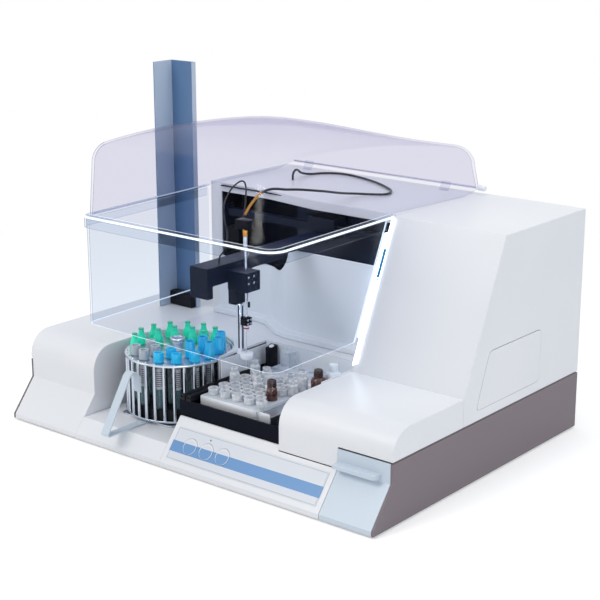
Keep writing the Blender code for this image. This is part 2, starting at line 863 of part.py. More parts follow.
tube_spots = around(outer_tube_ring, outer_tube_count) + around(inner_tube_ring, inner_tube_count, 0.5)
plate_low = rotor_top - rotor_plate
cage = piece("rotor_cage", SILVER, cylinder(centre, rotor_radius, plate_low, rotor_top, 36))
hole_low = plate_low - overrun
hole_high = rotor_top + overrun
cut(cage, cylinder(centre, knob_stem_radius + gap, hole_low, hole_high, 16),
    *[cylinder(spot, tube_radius + tube_clearance, hole_low, hole_high, 7) for spot in tube_spots])
join(cage, ring(centre, rotor_radius - rotor_rim, rotor_radius, rotor_bottom,
                rotor_bottom + rotor_plate, 36))
join_group(cage, *[cylinder(spot, rod_radius, rotor_bottom + rotor_plate / 2,
                            rotor_top + rod_pin_height, 5)
                   for spot in around(rotor_radius - rotor_rim / 2, rod_count, 0.5)])

# Tube holder: black core with its column and the tubes that stand in it
core_low = rotor_bottom + gap
core_top = core_low + core_height
tube_low = core_top - sheet
cap_low = rotor_top + gap
cap_top = cap_low + cap_height
holder = piece("tube_holder", BLACK, cylinder(centre, core_radius, core_low, core_top, 32))
join(holder, cylinder(centre, core_column_radius, core_top - sheet, plate_low - gap, 16))
tube_part = [(0, tube_low), (tube_radius, tube_low), (tube_radius, cap_low), (cap_radius, cap_low)]
wide_cap = tube_part + [(cap_radius, cap_top), (0, cap_top)]
neck_cap = tube_part + [(cap_radius, cap_low + cap_height * cap_skirt_share),
                        (cap_neck_radius, cap_low + cap_height * cap_neck_share),
                        (cap_neck_radius, cap_top), (0, cap_top)]
tubes = []
for x, y in tube_spots:
    necked = (y - rotor_y) - (x - rotor_x) > 0
    tubes.append(lathe(neck_cap if necked else wide_cap, (x, y), 7))
join_group(holder, *tubes)
cut(holder, cylinder(centre, spindle_radius + spindle_clearance, core_low - overrun,
                     core_low + spindle_height + gap, 14))

# Rotor knob with its stem through the plate
knob_low = rotor_top + gap
knob_profile = [(0, plate_low + gap), (knob_stem_radius, plate_low + gap),
                (knob_stem_radius, knob_low)]
knob_profile += [(knob_radius * a, knob_low + knob_height * b) for a, b in knob_shares]
knob_profile += [(0, knob_low + knob_height)]
piece("rotor_knob", SILVER, lathe(knob_profile, centre, 16))

# Rotor tray that slides out, and the bent strip that pulls it
tray_low = bay_floor + gap
tray_plan = rounded(rotor_x - tray_half_width, rotor_x + tray_half_width, rotor_y - tray_reach,
                    rotor_y + tray_rear_reach, cap_radius)
tray = piece("rotor_tray", SILVER, prism("z", tray_plan, tray_low, tray_low + tray_thickness))
join(tray, cylinder(centre, spindle_radius, tray_low + tray_thickness / 2, core_low + spindle_height, 14))
strip_end = rotor_y - tray_reach - gap
fold_radius = strip_thickness * 2
fold_y = deep(-handle_out) + fold_radius
crown_z = tray_low + strip_rise
hook_radius = (strip_hook_depth - strip_top_depth) / 2
crown_y = deep(strip_top_depth) + hook_radius
strip_path = [(strip_end, tray_low), (fold_y, tray_low)]
strip_path += arc(fold_y, tray_low + fold_radius, fold_radius, 270, strip_lean, 4)[1:]
strip_path += arc(crown_y, crown_z - hook_radius, hook_radius, strip_lean, 0, 8)
strip_path += [(crown_y + hook_radius, crown_z - strip_hook_drop)]
piece("pull_handle", PALE_BLUE, prism("x", ribbon(strip_path, -strip_thickness),
                                      strip_x - strip_width / 2, strip_x + strip_width / 2))

# Front console with three keys under a printed film
nose_length = math.hypot(knee_depth, knee_height - lip_height)
along_nose = (knee_depth / nose_length, (knee_height - lip_height) / nose_length)


def on_nose(along, out):
    """Point in Y and Z on the sloping nose, out from its surface."""
    return (deep(0) + along_nose[0] * along - along_nose[1] * out,
            lip_height + along_nose[1] * along + along_nose[0] * out)


def nose_disc(x, radius, low, high, steps):
    """Disc whose axis is square to the sloping nose."""
    corners = []
    for out in (low, high):
        for k in range(steps):
            angle = tau * k / steps
            y, z = on_nose(key_along + radius * math.sin(angle), out)
            corners.append((x + radius * math.cos(angle), y, z))
    faces = [tuple(range(steps)), tuple(range(steps, 2 * steps))]
    faces += [(k, (k + 1) % steps, steps + (k + 1) % steps, steps + k) for k in range(steps)]
    return corners, faces


head_z = knee_height + console_head
head_y = deep(knee_depth) + console_head * knee_depth / (knee_height - lip_height)
console_outline = [(deep(0), foot_height), (deep(0), lip_height), (head_y, head_z),
                   (head_y + console_shell, head_z), (head_y + console_shell, inside_foot),
                   (pan_front - gap, inside_foot), (pan_front - gap, foot_height)]
inner_low = on_nose(0, -console_shell)
inner_high = on_nose(nose_length, -console_shell)
console_inner = [(deep(console_shell), foot_height - overrun), (deep(console_shell), inner_low[1]),
                 inner_high, (head_y + console_shell + overrun, inner_high[1]),
                 (head_y + console_shell + overrun, foot_height - overrun)]
console_right = drawer_left - 2 * gap
console = piece("front_console", WHITE, prism("x", console_outline, console_left, console_right))
cut(console, prism("x", console_inner, console_left + console_shell, console_right - console_shell))
cut(console, box(tall_left - gap, console_right + overrun, deep(knee_depth) - gap, deep(depth),
                 knee_height - console_shell, deck_top))
film_outline = [on_nose(film_low, gap), on_nose(film_high, gap),
                on_nose(film_high, gap + film_thickness), on_nose(film_low, gap + film_thickness)]
film = piece("keypad_film", PALE_BLUE, prism("x", film_outline, film_left, drawer_left - film_margin))
key_holes = [nose_disc(key_first + k * key_pitch, key_radius + key_clearance, -3 * console_shell,
                       overrun, 20) for k in range(3)]
cut(console, *key_holes)
cut(film, *key_holes)
key_top = gap + film_thickness + key_proud
for k, name in enumerate(("key_left", "key_middle", "key_right")):
    piece(name, PALE_BLUE, nose_disc(key_first + k * key_pitch, key_radius, key_top - key_body,
                                     key_top, 20))

# Drawer: sloping front with a ledge to pull, box and waste bin
drawer_right = half - sheet - 2 * gap
drawer_wrap = sheet * 0.4
front_outline = [(deep(0), foot_height), (deep(0), lip_height), (deep(knee_depth), knee_height),
                 (deep(knee_depth), panel_top), (deep(knee_depth + sheet), panel_top),
                 (deep(knee_depth + sheet), knee_height - drawer_wrap),
                 (deep(sheet), lip_height - drawer_wrap), (deep(sheet), foot_height)]
drawer = piece("drawer_front", PALE_BLUE, prism("x", front_outline, drawer_left, drawer_right))
ledge_front = deep(knee_depth - drawer_ledge_out)
ledge_root = deep(knee_depth) + sheet / 2
ledge_right = drawer_right - drawer_ledge_end
ledge_round = drawer_ledge_out / 2
ledge_plan = ([(drawer_left, ledge_root), (drawer_left, ledge_front)]
              + arc(ledge_right - ledge_round, ledge_front + ledge_round, ledge_round, 270, 360, 4)
              + [(ledge_right, ledge_root)])
join(drawer, prism("z", ledge_plan, drawer_ledge_low, drawer_ledge_high))
box_left = drawer_left + drawer_wall
box_right = drawer_right - drawer_wall
box_front = deep(knee_depth + sheet) + gap
box_back = deep(drawer_back)
drawer_box = piece("drawer_box", SILVER, box(box_left, box_right, box_front, box_back,
                                             drawer_floor, drawer_box_top))
cut(drawer_box, box(box_left + drawer_wall, box_right - drawer_wall, box_front + drawer_wall,
                    box_back - drawer_wall, drawer_floor + drawer_wall, drawer_box_top + overrun))
bin_low = drawer_floor + drawer_wall + gap
bin_inset = drawer_wall + bin_margin
bin_plan = rounded(box_left + bin_inset, box_right - bin_inset, box_front + bin_inset,
                   box_back - bin_inset, bin_margin * 2)
waste = piece("waste_bin", CLEAR, prism("z", bin_plan, bin_low, bin_top))
cut(waste, prism("z", offset(bin_plan, bin_wall, True), bin_low + bin_wall, bin_top + overrun))

# Reagent bay: black box between the rotor and the right cover
reagent_left = bay_right + gap
reagent_right = tall_left - gap
reagent = piece("reagent_bay", BLACK, box(reagent_left, reagent_right, deep(reagent_front),
                                          deep(reagent_back), reagent_floor, reagent_back_top))
cut(reagent, box(reagent_left + reagent_wall, reagent_right - reagent_wall,
                 deep(reagent_front + reagent_wall), deep(reagent_back - reagent_wall),
                 reagent_floor + reagent_wall, reagent_back_top + overrun))
cut(reagent, box(reagent_left - overrun, reagent_right + overrun, deep(reagent_front) - overrun,
                 deep(rotor_depth), reagent_front_top, reagent_back_top + overrun))
for low in (reagent_left, reagent_right - reagent_wall):
    join(reagent, box(low, low + reagent_wall, deep(reagent_front) + overrun,
                      deep(reagent_back) - overrun, inside_foot, reagent_floor + reagent_wall / 2))
bay_inside = reagent_floor + reagent_wall + gap

# Ribbed twin rail on the left of the reagent bay
rail_left = reagent_left + reagent_wall + gap
rail_right = rail_left + rail_spacing + rail_width
rail_bed = reagent_front_top - rail_drop
rails = piece("reagent_rails", BLACK, box(rail_left, rail_right, deep(rail_start), deep(rail_end),
                                          bay_inside, rail_bed))
for k in range(2):
    left = rail_left + k * rail_spacing
    join(rails, box(left + k * gap, left + rail_width - gap, deep(rail_start) + gap,
                    deep(rail_end) - gap, rail_bed - rail_drop, rail_bed + rail_height))
grooves = int((rail_end - rail_start) / rail_groove_pitch) - 1
groove_low = rail_bed + rail_height * rail_groove_share
cut(rails, *[box(rail_left - overrun, rail_right + overrun,
                 deep(rail_start) + (k + 0.7) * rail_groove_pitch,
                 deep(rail_start) + (k + 1.0) * rail_groove_pitch,
                 groove_low, rail_bed + rail_height + overrun) for k in range(grooves)])

# Cooling block with the vial rack on it
rack_low = rack_top - rack_thickness
block_low_left = max(cooling_left, rail_right + 2 * gap)
piece("cooling_block", SILVER, box(block_low_left, cooling_right, deep(cooling_front),
                                   deep(cooling_back), bay_inside, rack_low - gap))
rack = piece("vial_rack", CLEAR, box(max(rack_left, rail_right + 2 * gap), rack_right,
                                     deep(rack_front), deep(rack_back), rack_low, rack_top))
amber_front = (amber_front_x, deep(amber_front_depth))
vial_foot = rack_top - rack_thickness / 2
vial_profile = [(0, vial_foot), (vial_radius, vial_foot),
                (vial_radius, rack_top + vial_height * vial_shoulder_share),
                (vial_neck_radius, rack_top + vial_height * vial_collar_share),
                (vial_neck_radius, rack_top + vial_height), (0, rack_top + vial_height)]
vials = []
for i in range(vial_columns):
    for j in range(vial_rows):
        spot = (vial_first_x + i * vial_pitch, deep(vial_first_depth) + j * vial_pitch)
        if math.dist(spot, amber_front) > vial_radius + amber_radius + gap:
            vials.append(lathe(vial_profile, spot, 7))
join_group(rack, *vials)


def bottle(spot, radius, cap, low, height):
    """Small bottle with a shoulder and a cap, as one turned solid."""
    points = [(0, low), (radius, low)]
    points += [(radius, low + height * bottle_shoulder_share),
               (cap * bottle_neck_share, low + height * bottle_throat_share),
               (cap, low + height * bottle_collar_share)]
    points += [(cap, low + height), (0, low + height)]
    return lathe(points, spot, 12)


# Bottles on the rack, on the cooling block and on the floor of the bay
piece("amber_vial_front", AMBER, bottle(amber_front, amber_radius, amber_cap_radius,
                                        rack_top + gap, amber_front_height))
piece("amber_vial_rear", AMBER, bottle((amber_rear_x, deep(amber_rear_depth)), amber_radius,
                                       amber_cap_radius, rack_low, amber_rear_height))
piece("buffer_bottle", CLEAR, bottle((bottle_x, deep(bottle_depth)), bottle_radius,
                                     bottle_cap_radius, bay_inside, bottle_height))

# Stirrer block with a round well, and the clear measuring block with its four wells
stirrer_y = deep(stirrer_depth)
stirrer = piece("stirrer_block", BLACK, box(stirrer_x - stirrer_side / 2, stirrer_x + stirrer_side / 2,
                                            stirrer_y - stirrer_side / 2, stirrer_y + stirrer_side / 2,
                                            bay_inside, stirrer_top))
cut(stirrer, cylinder((stirrer_x, stirrer_y), well_radius, stirrer_top - stirrer_well_depth,
                      stirrer_top + overrun, 20))
measuring = piece("measuring_block", CLEAR, box(block_left, block_right, deep(block_front),
                                                deep(block_back), bay_inside, block_top))
well_pitch = (block_right - block_left) / well_count
cut(measuring, *[cylinder((block_left + (k + 0.5) * well_pitch, deep((block_front + block_back) / 2)),
                          well_radius, block_top - well_depth, block_top + overrun, 12)
                 for k in range(well_count)])

# Cross rail at the back with its end brackets, and the motor under its left end
rail_y = deep(rail_bar_depth)
rail = piece("x_rail", SILVER, box(rail_bar_left, rail_bar_right, rail_y - rail_bar / 2,
                                   rail_y + rail_bar / 2, rail_bar_height - rail_bar / 2,
                                   rail_bar_height + rail_bar / 2))
for low in (rail_bar_left, rail_bar_right - rail_bracket):
    join(rail, box(low, low + rail_bracket, rail_y - rail_bar, rail_y + rail_bar, rear_foot,
                   rail_bar_height + rail_bar))
motor_left = rail_bar_left + rail_bracket + gap
motor_mid = (motor_left + motor_side / 2, deep(motor_front + motor_length / 2))
motor_top = motor_height + motor_length
motor = piece("x_motor", BLACK, box(motor_left, motor_left + motor_side, deep(motor_front),
                                    deep(motor_front + motor_length), motor_height, motor_top))
join(motor, cylinder(motor_mid, motor_boss_radius, motor_top - sheet,
                     motor_top + motor_boss_height, 16))

# Carriage on the rail, and the long cover of the arm that it carries
carriage = piece("x_carriage", BLACK, box(-carriage_half + arm_middle, carriage_half + arm_middle,
                                          deep(arm_back) + gap, deep(carriage_back),
                                          carriage_bottom, carriage_top))
cut(carriage, box(-half, half, rail_y - rail_bar / 2 - carriage_clearance,
                  rail_y + rail_bar / 2 + carriage_clearance,
                  rail_bar_height - rail_bar / 2 - carriage_clearance,
                  rail_bar_height + rail_bar / 2 + carriage_clearance))
arm_outline = [(deep(arm_front), arm_nose), (deep(arm_front + arm_nose_length), arm_nose),
               (deep(arm_front + arm_nose_length), arm_bottom), (deep(arm_mid_start), arm_bottom),
               (deep(arm_mid_end), arm_mid_bottom), (deep(arm_rear_start), arm_mid_bottom),
               (deep(arm_rear_start + arm_nose_length), arm_rear_bottom),
               (deep(arm_back), arm_rear_bottom), (deep(arm_back), arm_top),
               (deep(arm_front), arm_top)]
arm = piece("arm_cover", BLACK, prism("x", arm_outline, arm_left, arm_right))
cut(arm, box(arm_left + arm_wall, arm_right - arm_wall, deep(arm_front + arm_wall),
             deep(arm_back) + overrun, arm_rear_bottom + arm_wall / 2, arm_top - arm_wall))

# Needle head beside the arm, with its lift motor, guide bar and foot cup
axis_y = deep(needle_depth)
needle_axis = (needle_x, axis_y)
head_left = arm_right + head_left_gap
head = piece("needle_head", BLACK, box(head_left, head_right, deep(head_front), deep(head_back),
                                       head_bottom, head_top))
head_motor_low = head_bottom - head_motor_height
join(head, box(head_left + gap, head_left + gap + head_motor_width, deep(head_front) + head_motor_inset,
               deep(head_back) - head_motor_inset, head_motor_low, head_bottom + overrun))
cut(head, cylinder(needle_axis, mast_radius + mast_clearance, head_bottom - overrun,
                   head_top + overrun, 10))
guide = piece("needle_guide", SILVER, box(guide_left, guide_right, axis_y - guide_half_depth,
                                          axis_y + guide_half_depth, guide_bottom,
                                          head_motor_low - gap))
join(guide, cylinder(needle_axis, foot_cup_radius, foot_cup_bottom, foot_cup_bottom + foot_cup_height, 16))
cut(guide, cylinder(needle_axis, foot_cup_hole, foot_cup_bottom - overrun,
                    foot_cup_bottom + foot_cup_height + overrun, 10))

# Needle: tube, nozzle, block, mast and clamp as one lifting unit
block_bottom = nozzle_bottom + nozzle_height
needle_profile = [(0, needle_tip), (needle_radius, needle_tip), (needle_radius, nozzle_bottom),
                  (nozzle_radius, nozzle_bottom), (nozzle_radius, block_bottom + needle_radius),
                  (mast_radius, block_bottom + needle_radius), (mast_radius, rod_top), (0, rod_top)]
needle = piece("needle", SILVER, lathe(needle_profile, needle_axis, 8))
join(needle, box(needle_x - needle_block_half, needle_x + needle_block_half,
                 axis_y - needle_block_half, axis_y + needle_block_half,
                 block_bottom, block_bottom + needle_block_height))
join(needle, box(clamp_left, clamp_right, axis_y - clamp_half_depth, axis_y + clamp_half_depth,
                 clamp_bottom, clamp_bottom + clamp_height))

# Hood lid: domed clear shell with a rim, hinged at the back
hood_base = housing_top + gap
ledge_low = hood_base - hood_wall
dome_middle = ((hood_left + hood_right) / 2, (deep(hood_front) + deep(hood_back)) / 2)


def crest(y):
    """Height of the lid along its length."""
    share = (y - deep(hood_crest_depth)) / (hood_back - hood_crest_depth)
    return hood_crest_height - hood_fall * share ** 2


def lid_plan(inset):
    """Plan of the lid at an inset, with points along its straight sides."""
    corner = max(hood_corner - inset, hood_corner * hood_corner_least_share)
    turns = rounded(hood_left + inset, hood_right - inset, deep(hood_front) + inset,
                    deep(hood_back) - inset, corner, 4)
    points = []
    for i, here in enumerate(turns):
        points.append(here)
        if i % 5 == 4:
            after = turns[(i + 1) % len(turns)]
            points += [(here[0] + (after[0] - here[0]) * k / 6, here[1] + (after[1] - here[1]) * k / 6)
                       for k in range(1, 6)]
    return points


def lid_surface(skin):
    """Rings of the lid's surface from its base to the apex, moved inwards by the skin."""
    radius = hood_shoulder - skin
    rings = [[(x, y, ledge_low + gap) for x, y in lid_plan(skin)]]
    for degrees in (0, 30, 60, 90):
        angle = math.radians(degrees)
        inset = hood_draft + skin + radius * (1 - math.cos(angle))
        rings.append([(x, y, crest(y) - skin - radius * (1 - math.sin(angle)))
                      for x, y in lid_plan(inset)])
    edge = rings[-1]
    for scale in (0.75, 0.4):
        ring_points = []
        for x, y, _ in edge:
            far_y = dome_middle[1] + (y - dome_middle[1]) * scale
            ring_points.append((dome_middle[0] + (x - dome_middle[0]) * scale, far_y,
                                crest(far_y) - skin + hood_crown * (1 - scale ** 2)))
        rings.append(ring_points)
    apex = (dome_middle[0], dome_middle[1], crest(dome_middle[1]) - skin + hood_crown)
    return rings, apex


def dome():
    """Closed shell of the lid between its outer and inner surfaces."""
    corners = []
    faces = []
    bases = []
    for skin in (0, hood_wall):
        rings, apex = lid_surface(skin)
        count = len(rings[0])
        start = len(corners)
        bases.append(start)
        for points in rings:
            corners += points
        corners.append(apex)
        top = len(corners) - 1
        for level in range(len(rings) - 1):
            for k in range(count):
                n = (k + 1) % count
                low = start + level * count
                faces.append((low + k, low + n, low + count + n, low + count + k))
        last = start + (len(rings) - 1) * count
        faces += [(last + k, last + (k + 1) % count, top) for k in range(count)]
    faces += [(bases[0] + k, bases[0] + (k + 1) % count, bases[1] + (k + 1) % count, bases[1] + k)
              for k in range(count)]
    return corners, faces


def rim_path(inset):
    """Path round the front of the hood, from its right end to its left end."""
    right = hood_right + rim_reach - inset
    left = hood_left - rim_reach + inset
    front = deep(hood_front) - rim_reach + inset
    turn = hood_corner + rim_reach - inset
    return ([(right, deep(rim_end))] + arc(right - turn, front + turn, turn, 360, 270, 6)
            + arc(left + turn, front + turn, turn, 270, 180, 6) + [(left, deep(rim_end))])


lid = piece("hood_lid", CLEAR, dome())
join(lid, prism("z", ribbon(rim_path(0), -(rim_reach + hood_wall / 2)), ledge_low, hood_base))
join(lid, prism("z", ribbon(rim_path(gap / 2), -hood_wall), housing_top - rim_drop,
                hood_base - hood_wall / 2))
hood_behind = deep(hood_back) + 2 * overrun
seat_outline = [(deep(rim_end), deck_top), (hood_behind, deck_top),
                (hood_behind, housing_top + hood_rear_lift),
                (deep(hood_rear_lift_start), housing_top + hood_rear_lift),
                (deep(hood_rear_lift_start), hood_base), (deep(rim_end), hood_base)]
cut(lid, prism("x", seat_outline, -half, half))
hinge = (deep(hinge_depth), hinge_height)
lug_lefts = (hood_left + hood_corner, hood_right - hood_corner - lug_width)
barrel_left = lug_lefts[0] + lug_width + barrel_inset
barrel_right = lug_lefts[1] - barrel_inset
join(lid, cylinder(hinge, hinge_barrel_radius, barrel_left, barrel_right, 12, "x"))
cut(lid, cylinder(hinge, hinge_pin_radius + gap, -half, half, 10, "x"))
cut(lid, *[box(low - lug_clearance, low + lug_width + lug_clearance, hinge[0] - 2 * lug_front, hood_behind,
          hood_base - overrun, hinge_height + lug_notch_height) for low in lug_lefts])

# Hood skirt: the straight walls that hang inside the rim
skirt = piece("hood_skirt", CLEAR, prism("z", ribbon(rim_path(hood_wall + skirt_gap), -hood_wall),
                                         skirt_bottom, ledge_low - gap))


def before_slope(z):
    """Y just in front of the tall housing's sloping face at a height."""
    return deep(slope_foot) - skirt_slope_gap + (z - deck_top) / slope


skirt_rear = [(before_slope(skirt_bottom - overrun), skirt_bottom - overrun),
              (before_slope(hood_base), hood_base), (hood_behind, hood_base),
              (hood_behind, skirt_bottom - overrun)]
cut(skirt, prism("x", skirt_rear, 0, half))

# Hinge pin with its two lugs on the rear housing and a cap at its right end
pin_left = hood_left + hood_wall + gap
pin = piece("hinge_pin", SILVER, cylinder(hinge, hinge_pin_radius, pin_left, hinge_cap_end, 10, "x"))
join(pin, cylinder(hinge, hinge_cap_radius, tall_left - hinge_cap_radius, hinge_cap_end, 14, "x"))
for low in lug_lefts:
    join(pin, box(low, low + lug_width, hinge[0] - lug_front, hinge[0] + lug_back, hood_base,
                  hinge_height + lug_crest))

# Magazine channel beside the hood, and the black block at its foot
magazine_right = magazine_left + magazine_width
magazine_back = deep(magazine_front + magazine_depth)
channel_outline = [(magazine_left, deep(magazine_front)),
                   (magazine_left + magazine_wall, deep(magazine_front)),
                   (magazine_left + magazine_wall, magazine_back - magazine_wall),
                   (magazine_right - magazine_wall, magazine_back - magazine_wall),
                   (magazine_right - magazine_wall, magazine_back - magazine_lip),
                   (magazine_right, magazine_back - magazine_lip),
                   (magazine_right, magazine_back), (magazine_left, magazine_back)]
piece("magazine_channel", SILVER, prism("z", channel_outline, rear_foot, magazine_top))
foot_back = magazine_back - magazine_wall - gap
piece("magazine_foot", BLACK, box(magazine_left + magazine_wall + gap, magazine_right - magazine_wall - gap,
                                  foot_back - magazine_block_depth, foot_back, rear_foot,
                                  rear_foot + magazine_block_height))

# Rear panel with its cut-outs for the inlet, the switch and the fan's air
panel_half = half - sheet - gap
panel_front = back_y - panel_sheet
back_outline = [(-panel_half, foot_height), (panel_half, foot_height), (panel_half, panel_top),
                (deck_right, panel_top), (deck_right, deck_top), (deck_left, deck_top),
                (deck_left, panel_top), (-panel_half, panel_top)]
back_panel = piece("rear_panel", TAUPE, prism("y", back_outline, panel_front, back_y))
inlet_low = inlet_z - inlet_height / 2
cut(back_panel, box(inlet_x - inlet_width / 2 - gap, inlet_x + inlet_width / 2 + gap,
                    panel_front - overrun, back_y + overrun, inlet_low - gap,
                    inlet_low + inlet_height + gap))
rocker_low = inlet_z - rocker_height / 2
cut(back_panel, box(rocker_x - rocker_width / 2 - rocker_clearance,
                    rocker_x + rocker_width / 2 + rocker_clearance, panel_front - overrun,
                    back_y + overrun, rocker_low - rocker_clearance,
                    rocker_low + rocker_height + rocker_clearance))
vent_pitch = 2 * fan_bore / vent_slots
vent_half = fan_bore * vent_width_share
cut(back_panel, *[box(fan_x - vent_half, fan_x + vent_half, panel_front - overrun, back_y + overrun,
                      fan_z - fan_bore + (k + 0.5) * vent_pitch - vent_slot_height / 2,
                      fan_z - fan_bore + (k + 0.5) * vent_pitch + vent_slot_height / 2)
                  for k in range(vent_slots)])

# Mains inlet with its recess and three pins, and the rocker switch beside it
inlet = piece("power_inlet", BLACK, box(inlet_x - inlet_width / 2, inlet_x + inlet_width / 2,
                                        back_y - inlet_body, back_y, inlet_low,
                                        inlet_low + inlet_height))
cut(inlet, box(inlet_x - inlet_width / 2 + inlet_wall, inlet_x + inlet_width / 2 - inlet_wall,
               back_y - inlet_recess, back_y + overrun, inlet_low + inlet_wall,
               inlet_low + inlet_height - inlet_wall))
for step in (-1, 0, 1):
    join(inlet, box(inlet_x + step * inlet_pin_spacing - inlet_pin_width / 4,
                    inlet_x + step * inlet_pin_spacing + inlet_pin_width / 4,
                    back_y - inlet_recess - sheet, back_y - inlet_recess + inlet_pin_length,
                    inlet_z - inlet_pin_width / 2, inlet_z + inlet_pin_width / 2))
rocker_mid = (back_y - rocker_depth / 2, inlet_z)
rocker_outline = [(back_y - rocker_depth * a, inlet_z + rocker_height * b) for a, b in rocker_shares]
piece("power_rocker", BLACK, prism("x", rocker_outline, rocker_x - rocker_width / 2,
                                   rocker_x + rocker_width / 2))

# Cooling fan: square frame with a bore and bars, and its impeller
fan_back = panel_front - gap
fan_front = fan_back - fan_thick
fan_frame = piece("fan_frame", BLACK, box(fan_x - fan_side / 2, fan_x + fan_side / 2, fan_front,
                                          fan_back, fan_z - fan_side / 2, fan_z + fan_side / 2))
cut(fan_frame, cylinder((fan_x, fan_z), fan_bore, fan_front - overrun, fan_back + overrun, 28, "y"))
bar_front = fan_back - fan_bar
join(fan_frame, cylinder((fan_x, fan_z), fan_hub, bar_front, fan_back - gap, 24, "y"))
join_group(fan_frame, box(fan_x - fan_bore - sheet / 2, fan_x + fan_bore + sheet / 2, bar_front + gap,
                          fan_back - 2 * gap, fan_z - fan_bar / 2, fan_z + fan_bar / 2))
join_group(fan_frame, box(fan_x - fan_bar / 2, fan_x + fan_bar / 2, bar_front + gap,
                          fan_back - 2 * gap, fan_z - fan_bore - sheet / 2, fan_z + fan_bore + sheet / 2))
wheel_low = fan_front + fan_blade_inset
wheel_high = bar_front - fan_blade_inset
shaft_low = wheel_low + fan_bar
join(fan_frame, cylinder((fan_x, fan_z), fan_shaft_radius, shaft_low, bar_front + fan_bar / 2, 12, "y"))


def blade(turn):
    """One fan blade leaning across the airflow."""
    corners = []
    for reach in (fan_hub - fan_blade_inset, fan_blade_reach):
        for across, y in ((-fan_blade_lean, wheel_low), (fan_blade_thick - fan_blade_lean, wheel_low),
                          (fan_blade_lean, wheel_high), (fan_blade_lean - fan_blade_thick, wheel_high)):
            corners.append((fan_x + math.cos(turn) * reach - math.sin(turn) * across, y,
                            fan_z + math.sin(turn) * reach + math.cos(turn) * across))
    faces = [(0, 1, 2, 3), (4, 5, 6, 7)]
    faces += [(k, (k + 1) % 4, 4 + (k + 1) % 4, 4 + k) for k in range(4)]
    return corners, faces


wheel = piece("fan_impeller", BLACK, cylinder((fan_x, fan_z), fan_hub, wheel_low - gap,
                                              wheel_high + gap, 24, "y"))
join_group(wheel, *[blade(tau * k / fan_blades) for k in range(fan_blades)])
cut(wheel, cylinder((fan_x, fan_z), fan_shaft_radius + fan_shaft_clearance, shaft_low - gap,
                    bar_front, 12, "y"))

# Power supply on the deck behind the work area
piece("power_supply", SILVER, box(supply_left, supply_right, deep(supply_front), deep(supply_back),
                                  rear_foot, supply_top))

# Main board on four posts inside the tall housing, with its larger components
board_foot = tall_left + sheet + gap
board_face = board_foot + board_standoff
board = piece("main_board", GREEN_BOARD, box(board_face, board_face + board_thickness,
                                             deep(board_front), deep(board_back), board_low, board_high))
board_length = board_back - board_front
board_height = board_high - board_low
join_group(board, *[cylinder((deep(board_front + board_length * a), board_low + board_height * b),
                             board_post_radius, board_foot, board_face + board_thickness / 2, 10, "x")
                    for a, b in board_post_shares])
join_group(board, *[box(board_face + board_thickness / 2, board_face + board_thickness + board_length * t,
                        deep(board_front + board_length * a), deep(board_front + board_length * (a + w)),
                        board_low + board_height * b, board_low + board_height * (b + h))
                    for a, b, w, h, t in board_part_shares])

# Diluter pump behind the service hatch: body on a foot, with two syringes
pump_right = pump_left + pump_width
pump = piece("diluter_pump", SILVER, box(pump_left, pump_right, deep(pump_front), deep(pump_back),
                                         pump_low, pump_high))
join(pump, box(pump_left + sheet, pump_right - sheet, deep(pump_back - pump_foot),
               deep(pump_back) - gap, inside_foot, pump_low + sheet))
pump_rise = pump_high - pump_low
for k in (0.3, 0.7):
    join(pump, cylinder((pump_right + syringe_radius * 0.6, deep(pump_front + (pump_back - pump_front) * k)),
                        syringe_radius, pump_low + syringe_inset, pump_high - syringe_inset, 16))


def cord(name, finish, radius, points):
    """Flexible cord along hand-chosen points: x, depth behind the front edge, z."""
    curve = bpy.data.curves.new(name, "CURVE")
    curve.dimensions = "3D"
    curve.bevel_depth = radius
    curve.bevel_resolution = 2
    curve.render_resolution_u = 0
    curve.use_fill_caps = True
    spline = curve.splines.new("POLY")
    spline.points.add(len(points) - 1)
    for spot, (x, y, z) in zip(spline.points, points):
        spot.co = (x, deep(y), z, 1)
    obj = bpy.data.objects.new(name, curve)
    bpy.context.scene.collection.objects.link(obj)
    obj.data.materials.append(finish_material(name, finish))
    return obj


def smooth_path(points, spacing):
    """Points at an even spacing along a Catmull-Rom curve through hand-chosen points."""
    ends = [tuple(2 * a - b for a, b in zip(points[0], points[1]))]
    ends += list(points)
    ends.append(tuple(2 * a - b for a, b in zip(points[-1], points[-2])))
    dense = []
    for i in range(1, len(ends) - 2):
        p0, p1, p2, p3 = ends[i - 1:i + 3]
        for k in range(24):
            t = k / 24
            dense.append(tuple(0.5 * (2 * b + (c - a) * t + (2 * a - 5 * b + 4 * c - d) * t * t
                                      + (3 * b - a - 3 * c + d) * t ** 3)
                               for a, b, c, d in zip(p0, p1, p2, p3)))
    dense.append(tuple(points[-1]))
    length = sum(math.dist(a, b) for a, b in zip(dense, dense[1:]))
    count = max(2, round(length / spacing))
    even = [dense[0]]
    travelled = 0
    for a, b in zip(dense, dense[1:]):
        travelled += math.dist(a, b)
        if travelled >= length * len(even) / count and len(even) < count:
            even.append(b)
    even.append(dense[-1])
    return even


# Flexible cable from the needle's clamp, and the thin sample tube down to the arm
cable_start = (needle_x, needle_depth, rod_top + cable_radius + gap)
cord("cable_loop", BLACK, cable_radius,
     smooth_path([cable_start] + cable_route, 2 * cable_radius * cord_step_diameters))
tube_start = ((clamp_left + needle_x) / 2, needle_depth + clamp_half_depth / 2,
              clamp_bottom + clamp_height + sample_tube_radius)
cord("sample_tube", AMBER, sample_tube_radius,
     smooth_path([tube_start] + sample_tube_route, 2 * sample_tube_radius * cord_step_diameters))
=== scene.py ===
"""Dressed model of a bench-top coagulation analyzer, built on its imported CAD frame."""
import math
import random

import bmesh
import bpy
from mathutils import Euler, Matrix, Vector


